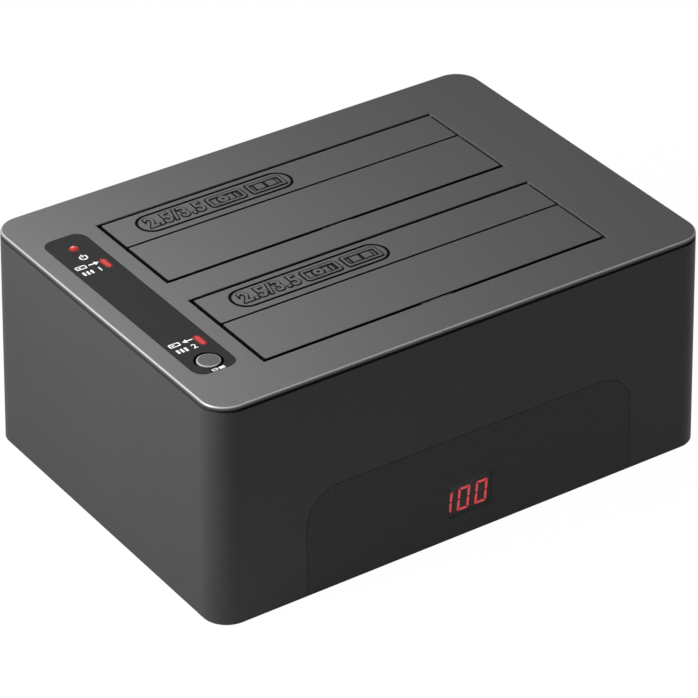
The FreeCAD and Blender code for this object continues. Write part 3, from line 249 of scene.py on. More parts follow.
def painted_plastic(name, box, depth, rimmed=False, pill=None):
    """Black plastic under grey sand-blasted paint; below the paint line each gap's wall is darkened as painted
    shade.

    A rimmed piece has a smooth, partly metallic edge round its outside, whose upper rounding is paler as a painted
    highlight and whose lower side is darker as painted shade; its paint reaches deeper on the bays' right walls,
    as painted light where the key light strikes them. On the others a painted shade darkens the flap just inside
    its outline. A painted shade also darkens the edges of a pill-shaped groove, if there is one.
    """
    look = Look(name)
    top = box[1].z
    level = reach = look.along("Z")
    if rimmed:
        # painted light: the right walls, which the key light strikes, stay grey further down
        reach = look.maths("ADD", level, look.ramp(look.along("X"), *LIT_RIGHT_WALLS, 0.0, PAINTED_LIGHT_DEPTH))
    # grey shows above the paint line; below it the colour is a painted shade
    paint = look.ramp(reach, top - depth * 1.3, top - depth * 0.7)
    grains = look.noise(GRAIN, 3.0)
    tint = look.blend(look.ramp(grains, 0.33, 0.67), scaled(LID_GREY, 0.86), scaled(LID_GREY, 1.14))
    rough, relief, metallic = look.spread(grains, 0.50, 0.60), grains, 0.0
    gap_shade_and_skirt = GAP_SHADE
    if rimmed:
        outside = outline_distance(look, box, LID_CORNER)
        rim = look.ramp(outside, *RIM_BAND)
        paint = look.maths("MAXIMUM", paint, rim)
        gap_shade_and_skirt = look.blend(look.ramp(outside, *SKIRT_BAND), GAP_SHADE, SKIRT_GREY)
        # painted highlight on the rim's upper rounding, painted shade on its lower side
        shine = look.ramp(level, top - RIM_SHINE[0], top - RIM_SHINE[1])
        tint = look.blend(rim, tint, look.blend(shine, RIM_SHADE, RIM_PAINTED_HIGHLIGHT))
        metallic = look.maths("MULTIPLY", rim, 0.3)
        rough = look.ramp(rim, 0.0, 1.0, rough, 0.40)
        relief = look.maths("MULTIPLY", grains, look.maths("SUBTRACT", 1.0, rim))
        # painted shade: the walls of the button's hole stay dark
        hole = look.distance(middle("button_cap"), (0.0, 0.0, 1.0))
        paint = look.maths("MINIMUM", paint, look.ramp(hole, *BUTTON_HOLE_SHADE))
    else:
        # painted shade: the flap darkens just inside its outline, where the gap is
        inside = look.ramp(outline_distance(look, box, FLAP_CORNER), *FLAP_EDGE_SHADE)
        paint = look.maths("MINIMUM", paint, inside)
    # painted shade along the pill's groove
    if pill:
        off = look.maths("ADD", outline_distance(look, pill, (pill[1].y - pill[0].y) / 2),
                         PILL_LINE / 2)
        clear = look.ramp(look.maths("ABSOLUTE", off), *PILL_SHADE_BAND)
        paint = look.maths("MINIMUM", paint, clear)
    return look.finish(look.surface(
        base_color=look.blend(paint, gap_shade_and_skirt, tint), roughness=rough, metallic=metallic,
        specular_ior_level=0.04, normal=look.bump(relief, 0.016 * MM, EDGE)))


def button_plastic():
    """The button's grained face inside a smooth edge that is paler as a painted highlight, over a side darkened as
    painted shade.
    """
    look = Look("button_plastic")
    grains = look.noise(GRAIN, 3.0)
    centre, top = middle("button_cap"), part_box("button_cap")[1].z
    outside = look.distance(centre, (BUTTON_RADIUS, BUTTON_RADIUS, 1.0), BUTTON_RADIUS)
    edge = look.ramp(outside, *BUTTON_BAND)
    side = look.ramp(look.along("Z"), top - BUTTON_SIDE_SHADE[0], top - BUTTON_SIDE_SHADE[1])
    tint = look.blend(look.ramp(grains, 0.33, 0.67), scaled(BUTTON_GREY, 0.9),
                      scaled(BUTTON_GREY, 1.1))
    relief = look.maths("MULTIPLY", grains, look.maths("SUBTRACT", 1.0, edge))
    # painted shade on the button's side in its hole, and a painted highlight on its edge
    tint = look.blend(side, SKIRT_GREY, look.blend(edge, tint, BUTTON_EDGE_HIGHLIGHT))
    return look.finish(look.surface(
        base_color=tint, specular_ior_level=0.1,
        roughness=look.ramp(edge, 0.0, 1.0, 0.5, 0.3), normal=look.bump(relief, 0.010 * MM, EDGE)))


DIGITS_RISE = 1.9 * MM
CLEAR_BAND = (0.95 * MM, 0.35 * MM)
OPEN_BAND = (5.0 * MM, 4.0 * MM)
FACE_BAND = (0.3 * MM, 0.6 * MM)


def window_plastic():
    """The smoked window: nearly black on its face, thinner over the digits, and clear behind them.

    The clear place is taller than the digits, so that they aren't cut off when seen from above.
    """
    look = Look("window_plastic")
    low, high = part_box("display_bars")
    high = high + Vector((0.0, 0.0, DIGITS_RISE))
    half = (high - low) / 2
    away = look.distance((low + high) / 2, (half.x, 10 * MM, half.z))
    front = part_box("front_window")[0].y
    behind = look.ramp(look.along("Y"), front + FACE_BAND[0], front + FACE_BAND[1])
    clear = look.maths("MULTIPLY", look.ramp(away, *CLEAR_BAND), 0.6)
    wide = look.maths("MULTIPLY", look.ramp(away, *OPEN_BAND), behind)
    streaks = look.noise(0.5 * MM, 2.0)
    tint = look.blend(look.spread(streaks), 0.027, 0.033)
    solid = look.surface(base_color=tint, roughness=look.spread(streaks, 0.26, 0.32),
                         specular_ior_level=0.08, normal=look.bump(streaks, 0.002 * MM, EDGE))
    through = look.add("ShaderNodeBsdfTransparent")
    through.inputs["Color"].default_value = (0.98, 0.96, 0.96, 1.0)
    mix = look.add("ShaderNodeMixShader")
    look.feed(mix.inputs[0], look.maths("MAXIMUM", wide, clear))
    look.tree.links.new(solid, mix.inputs[1])
    look.tree.links.new(through.outputs[0], mix.inputs[2])
    return look.finish(mix.outputs[0])


# Each lamp's corner radius, and the width of its flange
LAMPS = {"power_lamp": (1.1 * MM, 0.0), "bay_lamp_1": (0.65 * MM, 0.6 * MM),
         "bay_lamp_2": (0.65 * MM, 0.6 * MM)}
LAMP_GLOW = (0.42, 0.036, 0.034)
# painted highlight on the power lamp's dome
LAMP_PAINTED_HIGHLIGHT = (0.80, 0.30, 0.30)


def off_lens(look, lamp):
    """How far a point lies outside a lamp's lens, whose flange is hidden under the film."""
    corner, flange = LAMPS[lamp]
    low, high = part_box(lamp)
    flange = Vector((flange, flange, 0.0))
    return outline_distance(look, (low + flange, high - flange), corner)


def strip_film():
    """The satin film on the strip, with a dark red painted glow round each lamp, standing in for its light."""
    look = Look("strip_film")
    glow = 0.0
    # painted light: emission on the film round each lamp's lens
    for lamp in LAMPS:
        glow = look.maths("ADD", glow, look.ramp(off_lens(look, lamp), 0.55 * MM, 0.0))
    weave = look.noise(0.35 * MM, 2.0)
    tint = look.blend(look.spread(weave), 0.020, 0.025)
    return look.finish(look.surface(
        base_color=tint, roughness=look.spread(weave, 0.38, 0.46), specular_ior_level=0.04,
        emission_color=(0.24, 0.012, 0.014, 1.0), emission_strength=glow,
        normal=look.bump(weave, 0.003 * MM)))


def lamp_lens(lamp):
    """Red diffusing acrylic, lit from below: darker round its edge, with a painted highlight on the dome if domed.
    """
    look = Look(lamp + "_lens")
    low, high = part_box(lamp)
    cloud = look.noise(0.8 * MM)
    edge = look.ramp(off_lens(look, lamp), -0.16 * MM, 0.05 * MM)
    glow = look.blend(look.ramp(cloud, 0.4, 0.6), LAMP_GLOW, scaled(LAMP_GLOW, 0.85))
    if lamp == "power_lamp":
        # painted highlight: a pale spot on the dome, as if reflecting light from the back left
        highlight_place = (low + high) / 2 + Vector((-0.20, 0.36, 0.0)) * MM
        near = look.ramp(look.distance(highlight_place, (0.0, 0.0, 1.0)), 0.85 * MM, 0.15 * MM)
        glow = look.blend(near, scaled(LAMP_GLOW, 0.55), LAMP_PAINTED_HIGHLIGHT)
    return look.finish(look.surface(
        base_color=look.blend(edge, (0.25, 0.02, 0.02), (0.03, 0.01, 0.01)),
        roughness=look.spread(cloud, 0.16, 0.24), specular_ior_level=0.1,
        emission_color=look.blend(edge, glow, (0.03, 0.003, 0.003)), emission_strength=1.0))


def metal(name, colour, roughness, grain=0.6 * MM, along=(1.0, 8.0, 8.0)):
    """Plated or drawn metal with fine streaks."""
    look = Look(name)
    stretched = look.vector("MULTIPLY", look.place, along)
    streaks = look.noise(grain, 3.0, stretched)
    tint = look.blend(look.spread(streaks), scaled(colour, 0.85), scaled(colour, 1.08))
    return look.finish(look.surface(
        base_color=tint, metallic=1.0,
        roughness=look.spread(streaks, roughness - 0.06, roughness + 0.08),
        normal=look.bump(streaks, 0.002 * MM, 0.05 * MM)))


def circuit_board():
    """Green solder mask over copper tracks, with rows of tinned pads."""
    look = Look("circuit_board")
    tracks = look.add("ShaderNodeTexBrick", offset=0.5, squash=1.0)
    look.feed(tracks.inputs["Vector"], look.place)
    tracks.inputs["Scale"].default_value = 1 / (6 * MM)
    tracks.inputs["Mortar Size"].default_value = 0.05
    tracks.inputs["Brick Width"].default_value = 0.7
    tracks.inputs["Row Height"].default_value = 0.28
    cells = look.add("ShaderNodeTexVoronoi", feature="F1")
    look.feed(cells.inputs["Vector"], look.place)
    cells.inputs["Scale"].default_value = 1 / (2.6 * MM)
    pads = look.ramp(cells.outputs["Distance"], 0.26, 0.20)
    dust = look.noise(1.2 * MM)
    mask = look.blend(look.spread(dust), (0.012, 0.075, 0.030), (0.016, 0.095, 0.038))
    mask = look.blend(look.maths("MULTIPLY", tracks.outputs["Fac"], 0.7), mask,
                      (0.030, 0.16, 0.055))
    tint = look.blend(pads, mask, (0.55, 0.50, 0.36))
    return look.finish(look.surface(
        base_color=tint, metallic=pads, roughness=look.spread(dust, 0.30, 0.42),
        normal=look.bump(tracks.outputs["Fac"], 0.02 * MM)))


def rubber():
    """Moulded rubber with a fine matte bloom."""
    look = Look("foot_rubber")
    bloom = look.noise(0.5 * MM, 4.0)
    tint = look.blend(look.spread(bloom), 0.022, 0.040)
    return look.finish(look.surface(
        base_color=tint, roughness=look.spread(bloom, 0.78, 0.92), specular_ior_level=0.25,
        normal=look.bump(bloom, 0.03 * MM, EDGE)))


def print_ink(name, colour, specular):
    """Screen-printed ink, a little uneven in thickness; also the near-black sheet of painted shadow under the
    signs.
    """
    look = Look(name)
    wave = look.noise(0.25 * MM)
    tint = look.blend(look.spread(wave), scaled(colour, 0.93), colour)
    return look.finish(look.surface(base_color=tint, roughness=0.45, specular_ior_level=specular,
                                    normal=look.bump(wave, 0.002 * MM)))


def lit_digits():
    """The lit bars, with a slightly uneven glow along each of them."""
    look = Look("digit_red")
    uneven = look.spread(look.noise(0.7 * MM), 0.9, 1.1)
    return look.finish(look.surface(
        base_color=(0.5, 0.03, 0.03, 1.0), roughness=0.4, specular_ior_level=0.2,
        emission_color=(0.82, 0.100, 0.115, 1.0), emission_strength=uneven))


def module_plastic():
    """The display's grey face, with a faint grey glow as painted light from its own digits."""
    look = Look("module_plastic")
    cloud = look.spread(look.noise(0.8 * MM, 3.0), 0.9, 1.1)
    return look.finish(look.surface(
        base_color=(MODULE_GREY, MODULE_GREY, MODULE_GREY, 1.0), roughness=0.6,
        # painted light: an even grey glow on the face behind the window
        specular_ior_level=0.1, emission_color=(0.0160, 0.0160, 0.0162, 1.0),
        emission_strength=cloud, normal=look.bump(cloud, 0.01 * MM)))


def faint_glow():
    """A painted glow: the dark red light round each bar."""
    look = Look("digit_haze")
    uneven = look.spread(look.noise(0.5 * MM), 0.8, 1.2)
    return look.finish(look.surface(
        base_color=(0.02, 0.004, 0.004, 1.0), roughness=0.6, specular_ior_level=0.1,
        emission_color=(0.11, 0.004, 0.005, 1.0), emission_strength=uneven))


MATERIALS = {
    "wall_plastic": plastic("wall_plastic", WALL_GREY, 0.48, depth=0.005 * MM, mottle=0.05,
                            specular=0.06),
    "base_plastic": plastic("base_plastic", 0.05, 0.6, depth=0.02 * MM, mottle=0.10),
    "inner_plastic": plastic("inner_plastic", 0.022, 0.5, mottle=0.12),
    "chip_plastic": plastic("chip_plastic", 0.018, 0.55, mottle=0.18),
    "window_plastic": window_plastic(),
    "strip_film": strip_film(),
    "button_plastic": button_plastic(),
    "digit_red": lit_digits(),
    "steel": metal("steel", (0.56, 0.56, 0.57), 0.30),
    "port_steel": metal("port_steel", (0.66, 0.65, 0.62), 0.22, grain=0.9 * MM),
    "gold_plate": metal("gold_plate", (0.83, 0.60, 0.26), 0.25, along=(1.0, 1.0, 1.0)),
    "circuit_board": circuit_board(),
    "can_aluminium": metal("can_aluminium", (0.72, 0.72, 0.74), 0.34, along=(4.0, 4.0, 1.0)),
    "foot_rubber": rubber(),
}


PILL_BACK = 1.8 * MM
PILL_START = 7.45 * MM
PILL_SIZE = Vector((46.8, 8.9, 0.0)) * MM


def pill_box(flap):
    """The outline of the pill-shaped groove in a rear flap."""
    low, high = flap
    corner = Vector((low.x + PILL_START, high.y - PILL_BACK - PILL_SIZE.y, high.z))
    return corner, corner + PILL_SIZE


# Looks that depend on the outline of one part
OWN = {
    "top_cover": painted_plastic("lid_plastic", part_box("top_cover"), LID_DEPTH, rimmed=True),
    "display_module": module_plastic(),
}
for lamp in LAMPS:
    OWN[lamp] = lamp_lens(lamp)
for flap in [n for n in nodes if n.startswith(("rear_flap", "front_flap"))]:
    pill = pill_box(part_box(flap)) if flap.startswith("rear") else None
    OWN[flap] = painted_plastic(flap + "_paint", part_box(flap), FLAP_DEPTH, pill=pill)
INK = print_ink("white_ink", 0.86, 0.3)
# painted shadow: a near-black flat sheet under and round the raised signs
PAINTED_SHADOW_SHEET = print_ink("sign_painted_shadow", 0.008, 0.03)


def dress_nodes():
    """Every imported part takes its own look, or that of its slot in the record."""
    for part in frame["record"]["subparts"]:
        node = part["node"]
        for slot in nodes[node].material_slots:
            slot.material = OWN[node] if node in OWN else MATERIALS[part["material_slot"]]


# ---------------------------------------------------------------- flat marks and raised signs
def circle(centre, radius, steps=40, start=0.0, end=360.0):
    """Points round an arc, or round the whole circle without its last point twice."""
    whole = end - start >= 360
    count = steps if whole else steps + 1
    turns = [math.radians(start + (end - start) * i / steps) for i in range(count)]
    return [(centre[0] + radius * math.cos(a), centre[1] + radius * math.sin(a)) for a in turns]


def bar(low, high):
    return [low, (high[0], low[1]), high, (low[0], high[1])]


def rounded(low, high, radius, steps=5):
    """The outline of a rectangle with round corners."""
    corners = [(high[0] - radius, high[1] - radius, 0), (low[0] + radius, high[1] - radius, 90),
               (low[0] + radius, low[1] + radius, 180), (high[0] - radius, low[1] + radius, 270)]
    points = []
    for x, y, turn in corners:
        points += circle((x, y), radius, steps, turn, turn + 90)
    return points


def arc_band(centre, radius, width, start, end):
    outer = circle(centre, radius + width / 2, 28, start, end)
    inner = circle(centre, radius - width / 2, 28, start, end)
    return outer + inner[::-1]


def frame_of(low, high, radius, line):
    """A rounded frame: its outline and the hole in it."""
    inner = rounded((low[0] + line, low[1] + line), (high[0] - line, high[1] - line),
                    max(radius - line, line * 0.4))
    return [rounded(low, high, radius), inner]


def shape_curve(loops, thickness, grow=0.0, bevel=0.0):
    """A filled flat shape whose inner loops are holes, extruded half each way."""
    data = bpy.data.curves.new("shape", "CURVE")
    data.dimensions = "2D"
    data.fill_mode = "BOTH"
    for loop in loops:
        spline = data.splines.new("POLY")
        spline.points.add(len(loop) - 1)
        for made, (x, y) in zip(spline.points, loop):
            made.co = (x, y, 0.0, 1.0)
        spline.use_cyclic_u = True
    return thicken(data, thickness, grow, bevel)


# A figure's height as a share of the font's size
FIGURE_HEIGHT = 0.70


def number_curve(text, height, thickness, grow=0.0, bevel=0.0):
    """Plain figures of a given height, centred."""
    data = bpy.data.curves.new("figures", "FONT")
    data.body = text
    data.size = height / FIGURE_HEIGHT
    data.align_x = "CENTER"
    data.align_y = "CENTER"
    return thicken(data, thickness, grow, bevel)


def thicken(data, thickness, grow, bevel):
    data.extrude = thickness / 2 - bevel
    data.bevel_depth = bevel
    data.bevel_resolution = 1
    data.offset = grow - bevel
    return data


def trace(data, radius):
    """Turn a filled shape into a wire along its outlines."""
    data.fill_mode = "NONE"
    data.extrude = data.offset = 0.0
    data.bevel_depth = radius


def to_mesh(data, place):
    """A mesh from a curve's data, set in place."""
    holder = bpy.data.objects.new("holder", data)
    mesh = bpy.data.meshes.new_from_object(holder)
    bpy.data.objects.remove(holder)
    mesh.transform(place)
    return mesh


def piece(name, meshes, material, body):
    """One named object from some meshes, riding on a body."""
    joined = bmesh.new()
    for mesh in meshes:
        joined.from_mesh(mesh)
        bpy.data.meshes.remove(mesh)
    mesh = bpy.data.meshes.new(name)
    bmesh.ops.remove_doubles(joined, verts=joined.verts, dist=1e-7)
    joined.to_mesh(mesh)
    joined.free()
    mesh.materials.append(material)
    made = bpy.data.objects.new(name, mesh)
    scene.collection.objects.link(made)
    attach(made, body)
    return made


INK_THICKNESS = 0.03 * MM
MARK_LINE = 0.42 * MM
ROW_DROP = 3.1 * MM


def ink(x, y, z):
    return Matrix.Translation((x, y, z + INK_THICKNESS / 2))


def strip_marks():
    """Pictograms and figures in white ink: power, source 1, target 2 and copy."""
    film_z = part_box("status_strip")[1].z
    lamp = middle("power_lamp")

    ring = arc_band((0, 0), 0.98 * MM, MARK_LINE, 122, 418)
    stem = bar((-MARK_LINE / 2, 0.1 * MM), (MARK_LINE / 2, 1.45 * MM))
    power = shape_curve([ring, stem], INK_THICKNESS)
    piece("power_mark", [to_mesh(power, ink(lamp.x - 0.1 * MM, lamp.y - 4.9 * MM, film_z))],
          INK, "case")

    for bay in BAYS:
        lens = middle("bay_lamp_%d" % bay)
        x, y = lens.x - 4.6 * MM, lens.y + 1.4 * MM
        drive = frame_of((-3.4 * MM, -0.85 * MM), (-0.3 * MM, 0.85 * MM), 0.35 * MM, 0.36 * MM)
        drive.append(bar((-2.7 * MM, -0.2 * MM), (-1.9 * MM, 0.2 * MM)))
        way = 1 if bay == 1 else -1
        arrow = [(way * px * MM + 1.9 * MM, py * MM) for px, py in (
            (-1.5, -0.22), (0.2, -0.22), (0.2, -0.85), (1.5, 0.0), (0.2, 0.85), (0.2, 0.22),
            (-1.5, 0.22))][::way]
        rows = [to_mesh(shape_curve([*drive, arrow], INK_THICKNESS), ink(x, y, film_z))]
        figure = number_curve(str(bay), 1.9 * MM, INK_THICKNESS, 0.05 * MM)
        rows.append(to_mesh(figure, ink(x + 2.0 * MM, y - ROW_DROP, film_z)))
        dots = [bar(((-3.0 + 1.15 * i) * MM, -0.85 * MM), ((-2.35 + 1.15 * i) * MM, 0.85 * MM))
                for i in range(3)]
        rows.append(to_mesh(shape_curve(dots, INK_THICKNESS), ink(x, y - ROW_DROP, film_z)))
        piece("bay_mark_%d" % bay, rows, INK, "case")

    cap = middle("button_cap")
    back_page = frame_of((-1.7 * MM, -0.5 * MM), (-0.1 * MM, 0.5 * MM), 0.2 * MM, 0.26 * MM)
    front_page = bar((0.3 * MM, -0.5 * MM), (1.9 * MM, 0.5 * MM))
    pages = shape_curve([*back_page, front_page], INK_THICKNESS)
    piece("copy_mark", [to_mesh(pages, ink(cap.x - 0.1 * MM, cap.y - 4.4 * MM, film_z))],
          INK, "case")


SIGN_HEIGHT = 4.7 * MM
SIGN_RISE = 0.18 * MM
SIGN_SHADOW = 0.55 * MM
# the thickness of the painted shadow sheet
SHADOW_SHEET_HEIGHT = 0.03 * MM
SIGN_LINE = 0.62 * MM
SIGN_BEVEL = 0.05 * MM
FIGURES_GROW = 0.10 * MM
FIGURES_WIDTH = 0.88
FIGURES_SPACING = 1.08

# From the pill's left end: the figures' middle, then the start and width of each pictogram
FIGURES_PLACE = 11.4 * MM
DRIVE_PLACE = (21.6 * MM, 10.4 * MM)
CARD_PLACE = (34.0 * MM, 10.2 * MM)


def drive_sign(x, wide):
    """A hard drive seen from above: its case, its disc and the arm across it."""
    high = SIGN_HEIGHT / 2
    loops = frame_of((x, -high), (x + wide, high), 0.9 * MM, SIGN_LINE)
    disc = (x + wide * 0.42, 0.0)
    loops += [circle(disc, high * 0.60), circle(disc, high * 0.22, 24)]
    arm = wide * 0.80
    loops.append(bar((x + arm - SIGN_LINE / 2, -high * 0.55),
                     (x + arm + SIGN_LINE / 2, high * 0.35)))
    return loops


def card_sign(x, wide):
    """A solid-state drive: its case, a notched edge and two memory chips."""
    high = SIGN_HEIGHT / 2
    loops = frame_of((x, -high), (x + wide, high), 0.5 * MM, SIGN_LINE)
    for i in range(2):
        start = x + wide * (0.20 + 0.34 * i)
        loops.append(bar((start, -high * 0.5), (start + wide * 0.24, high * 0.5)))
    return loops


def flap_signs(bay):
    """Raised drive sizes and pictograms in the pill on a rear flap, each on a flat near-black sheet that stands
    round it as painted shadow.
    """
    low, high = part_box("rear_flap_%d" % bay)
    pill = pill_box((low, high))
    y = (pill[0].y + pill[1].y) / 2
    start = pill[0].x
    drive = drive_sign(start + DRIVE_PLACE[0], DRIVE_PLACE[1])
    card = card_sign(start + CARD_PLACE[0], CARD_PLACE[1])
    paint = painted_plastic("sign_paint_%d" % bay,
                            (low, high + Vector((0.0, 0.0, SIGN_RISE))), FLAP_DEPTH)
    squeeze = (Matrix.Translation((start + FIGURES_PLACE, 0.0, 0.0))
               @ Matrix.Scale(FIGURES_WIDTH, 4, (1, 0, 0)))
    flat = Matrix.Scale(SHADOW_SHEET_HEIGHT / SIGN_SHADOW, 4, (0, 0, 1))
    # the first pass lays the painted shadow, a flat near-black wire along every outline
    for name, outlined, material in (("sign_shadow_sheet_%d", True, PAINTED_SHADOW_SHEET),
                                     ("drive_sign_%d", False, paint)):
        figures = number_curve("2.5/3.5", SIGN_HEIGHT, SIGN_RISE, FIGURES_GROW, SIGN_BEVEL)
        figures.space_character = FIGURES_SPACING
        signs = shape_curve([*drive, *card], SIGN_RISE, 0.0, SIGN_BEVEL)
        rise = 0.0 if outlined else SIGN_RISE / 2
        up = Matrix.Translation((0.0, y, high.z + rise))
        if outlined:
            up = up @ flat
            trace(figures, SIGN_SHADOW)
            trace(signs, SIGN_SHADOW)
        piece(name % bay, [to_mesh(figures, up @ squeeze), to_mesh(signs, up)], material,
              "rear_lid_%d" % bay)


# ---------------------------------------------------------------- display
GLOW_SPREAD = 0.16 * MM


def digit_haze():
    """A slightly larger, dim copy of the lit bars, just behind their faces, which glows as painted light round
    them.
    """
    mesh = nodes["display_bars"].data.copy()
    glow_copy = bmesh.new()
    glow_copy.from_mesh(mesh)
    bmesh.ops.remove_doubles(glow_copy, verts=glow_copy.verts, dist=1e-6)
    bmesh.ops.recalc_face_normals(glow_copy, faces=glow_copy.faces)
    glow_copy.normal_update()
    for vertex in glow_copy.verts:
        vertex.co += vertex.normal * GLOW_SPREAD + Vector((0.0, GLOW_SPREAD * 0.85, 0.0))
    glow_copy.to_mesh(mesh)
    glow_copy.free()
    piece("digit_haze", [mesh], faint_glow(), "case")


# ---------------------------------------------------------------- springs
COIL_RADIUS = 0.88 * MM
WIRE_RADIUS = 0.17 * MM
COIL_LEG = 7.0 * MM
COIL_FOOT = 0.85 * MM
COIL_STEPS = 16


def return_spring(side, bay):
    """A real torsion spring round the hinge pin in place of the plain sleeve."""
    node = "return_spring_%s_%d" % (side, bay)
    low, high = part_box(node)
    pin = joint_place("%s_flap_%d_hinge" % (side, bay))
    turns = int((high.x - low.x - WIRE_RADIUS * 2) / (WIRE_RADIUS * 2.1))
    pitch = (high.x - low.x - WIRE_RADIUS * 2) / turns
    way = 1 if side == "rear" else -1
    start = high.x - WIRE_RADIUS
    points = [(start, COIL_FOOT * way, -COIL_RADIUS)]
    for i in range(turns * COIL_STEPS + 1):
        turn = 2 * math.pi * i / COIL_STEPS
        points.append((start - pitch * i / COIL_STEPS, -way * COIL_RADIUS * math.sin(turn),
                       -COIL_RADIUS * math.cos(turn)))
    points.append((low.x + WIRE_RADIUS, -COIL_LEG * way, -COIL_RADIUS))
    data = bpy.data.curves.new(node, "CURVE")
    data.dimensions = "3D"
    data.bevel_depth = WIRE_RADIUS
    data.bevel_resolution = 2
    data.use_fill_caps = True
    spline = data.splines.new("POLY")
    spline.points.add(len(points) - 1)
    for made, place in zip(spline.points, points):
        made.co = (*place, 1.0)
    spring = piece("coil_%s_%d" % (side, bay), [to_mesh(data, Matrix.Translation(pin))],
                   MATERIALS["steel"], "%s_lid_%d" % (side, bay))
    for face in spring.data.polygons:
        face.use_smooth = True
    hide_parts(node)


# ---------------------------------------------------------------- screws
def lathe(profile, steps=40):
    """A closed solid of revolution round Z from (radius, height) points, from axis to axis."""
    made = bmesh.new()
    rings = []
    for radius, height in profile:
        if radius == 0:
            rings.append([made.verts.new((0.0, 0.0, height))] * steps)
        else:
            rings.append([made.verts.new((x, y, height)) for x, y in circle((0, 0), radius, steps)])
    for lower, upper in zip(rings, rings[1:]):
        for i in range(steps):
            corners = [lower[i], lower[(i + 1) % steps], upper[(i + 1) % steps], upper[i]]
            unique = [v for n, v in enumerate(corners) if v not in corners[:n]]
            made.faces.new(unique)
    bmesh.ops.recalc_face_normals(made, faces=made.faces)
    return made


def cross_cut(width, arm, depth):
    """A tapered plus-shaped cutter for a screw's drive."""
    made = bmesh.new()
    for turn in (0, 90):
        cube = bmesh.ops.create_cube(made, size=1.0)["verts"]
        for vertex in cube:
            taper = 1.0 if vertex.co.z < 0 else 0.45
            vertex.co = Vector((vertex.co.x * arm * 2 * taper, vertex.co.y * width,
                                vertex.co.z * depth * 2))
        bmesh.ops.rotate(made, verts=cube, matrix=Matrix.Rotation(math.radians(turn), 3, "Z"))
    return made


def as_object(name, source):
    mesh = bpy.data.meshes.new(name)
    source.to_mesh(mesh)
    source.free()
    made = bpy.data.objects.new(name, mesh)
    scene.collection.objects.link(made)
    return made


def carve(target, cutter):
    """Cut one mesh out of another and return the result as a mesh."""
    step = target.modifiers.new("cut", "BOOLEAN")
    step.object = cutter
    step.operation = "DIFFERENCE"
    step.solver = "EXACT"
    step.use_self = True
    bpy.context.view_layer.update()
    result = bpy.data.meshes.new_from_object(
        target.evaluated_get(bpy.context.evaluated_depsgraph_get()))
    bpy.data.objects.remove(cutter)
    bpy.data.objects.remove(target)
    return result


def base_screws():
    """Pan heads with a cross recess and a round shank, in the holes of the base plate."""
    low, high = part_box("base_screws")
    head, thick, shank = 2.6 * MM, 1.0 * MM, 1.4 * MM
    profile = [(0.0, 0.0), (head * 0.55, 0.0), (head * 0.9, 0.12 * MM), (head, 0.35 * MM),
               (head, thick), (shank, thick), (shank, high.z - low.z - 0.6 * MM),
               (shank * 0.4, high.z - low.z), (0.0, high.z - low.z)]
    body = as_object("screw_body", lathe(profile))
    one = carve(body, as_object("screw_cutter", cross_cut(0.55 * MM, 1.45 * MM, 0.75 * MM)))
    reach = (high.x - low.x) / 2 - head, (high.y - low.y) / 2 - head
    meshes = []
    for x, y in ((1, 1), (-1, 1), (-1, -1), (1, -1)):
        copy = one.copy()
        turn = Matrix.Rotation(math.radians(25 + 40 * x + 20 * y), 4, "Z")
        copy.transform(Matrix.Translation((x * reach[0], y * reach[1], low.z)) @ turn)
        meshes.append(copy)
    bpy.data.meshes.remove(one)
    screws = piece("cross_screws", meshes, MATERIALS["steel"], "case")
    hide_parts("base_screws")


# ---------------------------------------------------------------- rocker marks
def rocker_marks():
    """I on the rocker's pressed half and O on its raised half, in white ink."""
    faces = {"on": [], "off": []}
    for face in nodes["power_rocker"].data.polygons:
        if face.normal.y > 0.9:
            faces["off" if face.normal.x < -0.1 else "on"].append(face)
    for shape, half in faces.items():
        centre = sum((f.center * f.area for f in half), Vector()) / sum(f.area for f in half)
        normal = half[0].normal
        if shape == "on":
            loops = [bar((-0.2 * MM, -1.1 * MM), (0.2 * MM, 1.1 * MM))]
        else:
            loops = [circle((0, 0), 1.15 * MM), circle((0, 0), 0.8 * MM)]
        turn = normal.to_track_quat("Z", "Y").to_matrix().to_4x4()
        place = Matrix.Translation(centre + normal * INK_THICKNESS / 2) @ turn
        piece("rocker_%s" % shape, [to_mesh(shape_curve(loops, INK_THICKNESS), place)],
              INK, "rocker")


# ---------------------------------------------------------------- stage, light and camera
WHITE = (1.0, 1.0, 1.0, 1.0)
FLOOR_WHITE = 0.97
AMBIENT = 0.10

# Each light's place, its size and its watts; all three point at the middle of the body
LIGHT_TARGET = (0.0, 0.0, 0.03)
LIGHTS = {
    "key": ((-0.245, 0.01, 0.205), (0.14, 0.14), 1.12),
    "front": ((0.36, -0.76, 0.11), (0.5, 0.15), 1.3),
    "rear": ((0.55, 0.60, 0.10), (0.5, 0.15), 0.8),
}

CAMERA_PLACE = (-0.49106, -0.71871, 0.58121)
CAMERA_ELEVATION = 32.45
CAMERA_AZIMUTH = -34.36
CAMERA_LENS = 203.89


def sees_background(tree):
    """1 for rays that should find a white background: from the eye, a mirror or through glass."""
    path = tree.nodes.new("ShaderNodeLightPath")
    total = path.outputs["Is Camera Ray"]
    for other in ("Is Glossy Ray", "Is Transmission Ray"):
        highest = tree.nodes.new("ShaderNodeMath")
        highest.operation = "MAXIMUM"
        tree.links.new(total, highest.inputs[0])
        tree.links.new(path.outputs[other], highest.inputs[1])
        total = highest.outputs[0]
    return total


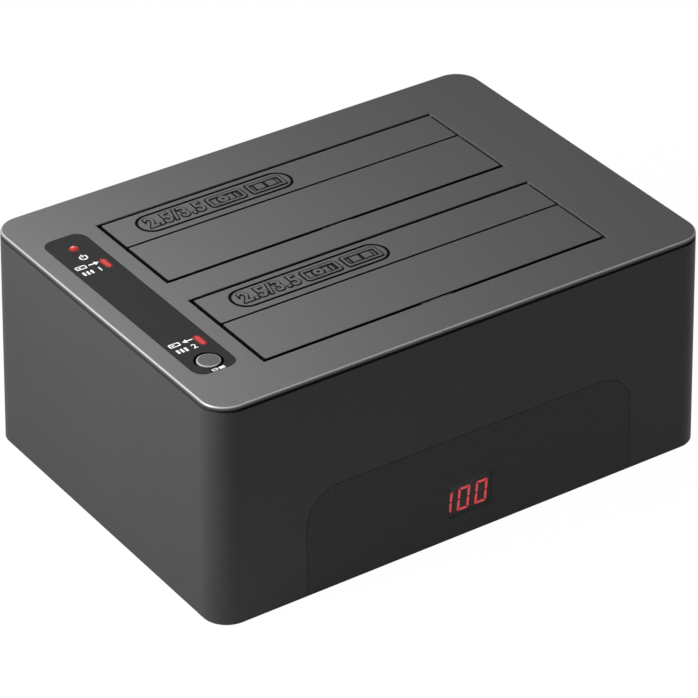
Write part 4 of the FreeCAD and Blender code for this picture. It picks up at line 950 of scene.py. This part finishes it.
def make_floor():
    """A plain pale floor that reads as white and keeps the object's shadow."""
    bpy.ops.mesh.primitive_plane_add(size=12.0, location=(0.0, 0.0, 0.0))
    floor = bpy.context.object
    floor.name = "floor"
    look = Look("floor_white")
    seen = sees_background(look.tree)
    diffuse = look.add("ShaderNodeBsdfDiffuse")
    diffuse.inputs["Color"].default_value = (0.80, 0.80, 0.80, 1.0)
    glow = look.add("ShaderNodeEmission")
    glow.inputs["Color"].default_value = WHITE
    glow.inputs["Strength"].default_value = 1.02
    mix = look.add("ShaderNodeMixShader")
    look.feed(mix.inputs[0], look.maths("MULTIPLY", seen, FLOOR_WHITE))
    look.tree.links.new(diffuse.outputs[0], mix.inputs[1])
    look.tree.links.new(glow.outputs[0], mix.inputs[2])
    floor.data.materials.append(look.finish(mix.outputs[0]))


def make_world():
    world = bpy.data.worlds.new("studio")
    world.use_nodes = True
    scene.world = world
    tree = world.node_tree
    tree.nodes.clear()
    seen = sees_background(tree)
    strength = tree.nodes.new("ShaderNodeMapRange")
    strength.inputs["To Min"].default_value = AMBIENT
    strength.inputs["To Max"].default_value = 1.0
    tree.links.new(seen, strength.inputs["Value"])
    back = tree.nodes.new("ShaderNodeBackground")
    back.inputs["Color"].default_value = WHITE
    tree.links.new(strength.outputs["Result"], back.inputs["Strength"])
    out = tree.nodes.new("ShaderNodeOutputWorld")
    tree.links.new(back.outputs[0], out.inputs["Surface"])


def area_light(name, place, size, watts):
    data = bpy.data.lights.new(name, "AREA")
    data.shape = "RECTANGLE"
    data.size, data.size_y = size
    data.energy = watts
    lamp = bpy.data.objects.new(name, data)
    lamp.location = place
    lamp.rotation_euler = (Vector(LIGHT_TARGET) - Vector(place)).to_track_quat(
        "-Z", "Y").to_euler()
    scene.collection.objects.link(lamp)


def make_lights():
    """A key close by on the left, and two weak fills so that the other sides don't go black."""
    for name, settings in LIGHTS.items():
        area_light(name, *settings)


def make_camera():
    """The view of the left end, the display and the lid, from above."""
    data = bpy.data.cameras.new("view")
    data.sensor_width = 36.0
    data.lens = CAMERA_LENS
    data.clip_start, data.clip_end = 0.05, 40.0
    camera = bpy.data.objects.new("view", data)
    camera.location = CAMERA_PLACE
    camera.rotation_euler = Euler((math.radians(90 - CAMERA_ELEVATION), 0.0,
                                   math.radians(CAMERA_AZIMUTH)))
    scene.collection.objects.link(camera)
    scene.camera = camera


# ---------------------------------------------------------------- build
dress_nodes()
strip_marks()
for bay in BAYS:
    flap_signs(bay)
    for side in ("rear", "front"):
        return_spring(side, bay)
digit_haze()
base_screws()
rocker_marks()
make_floor()
make_world()
make_lights()
make_camera()

scene.view_settings.view_transform = "Standard"
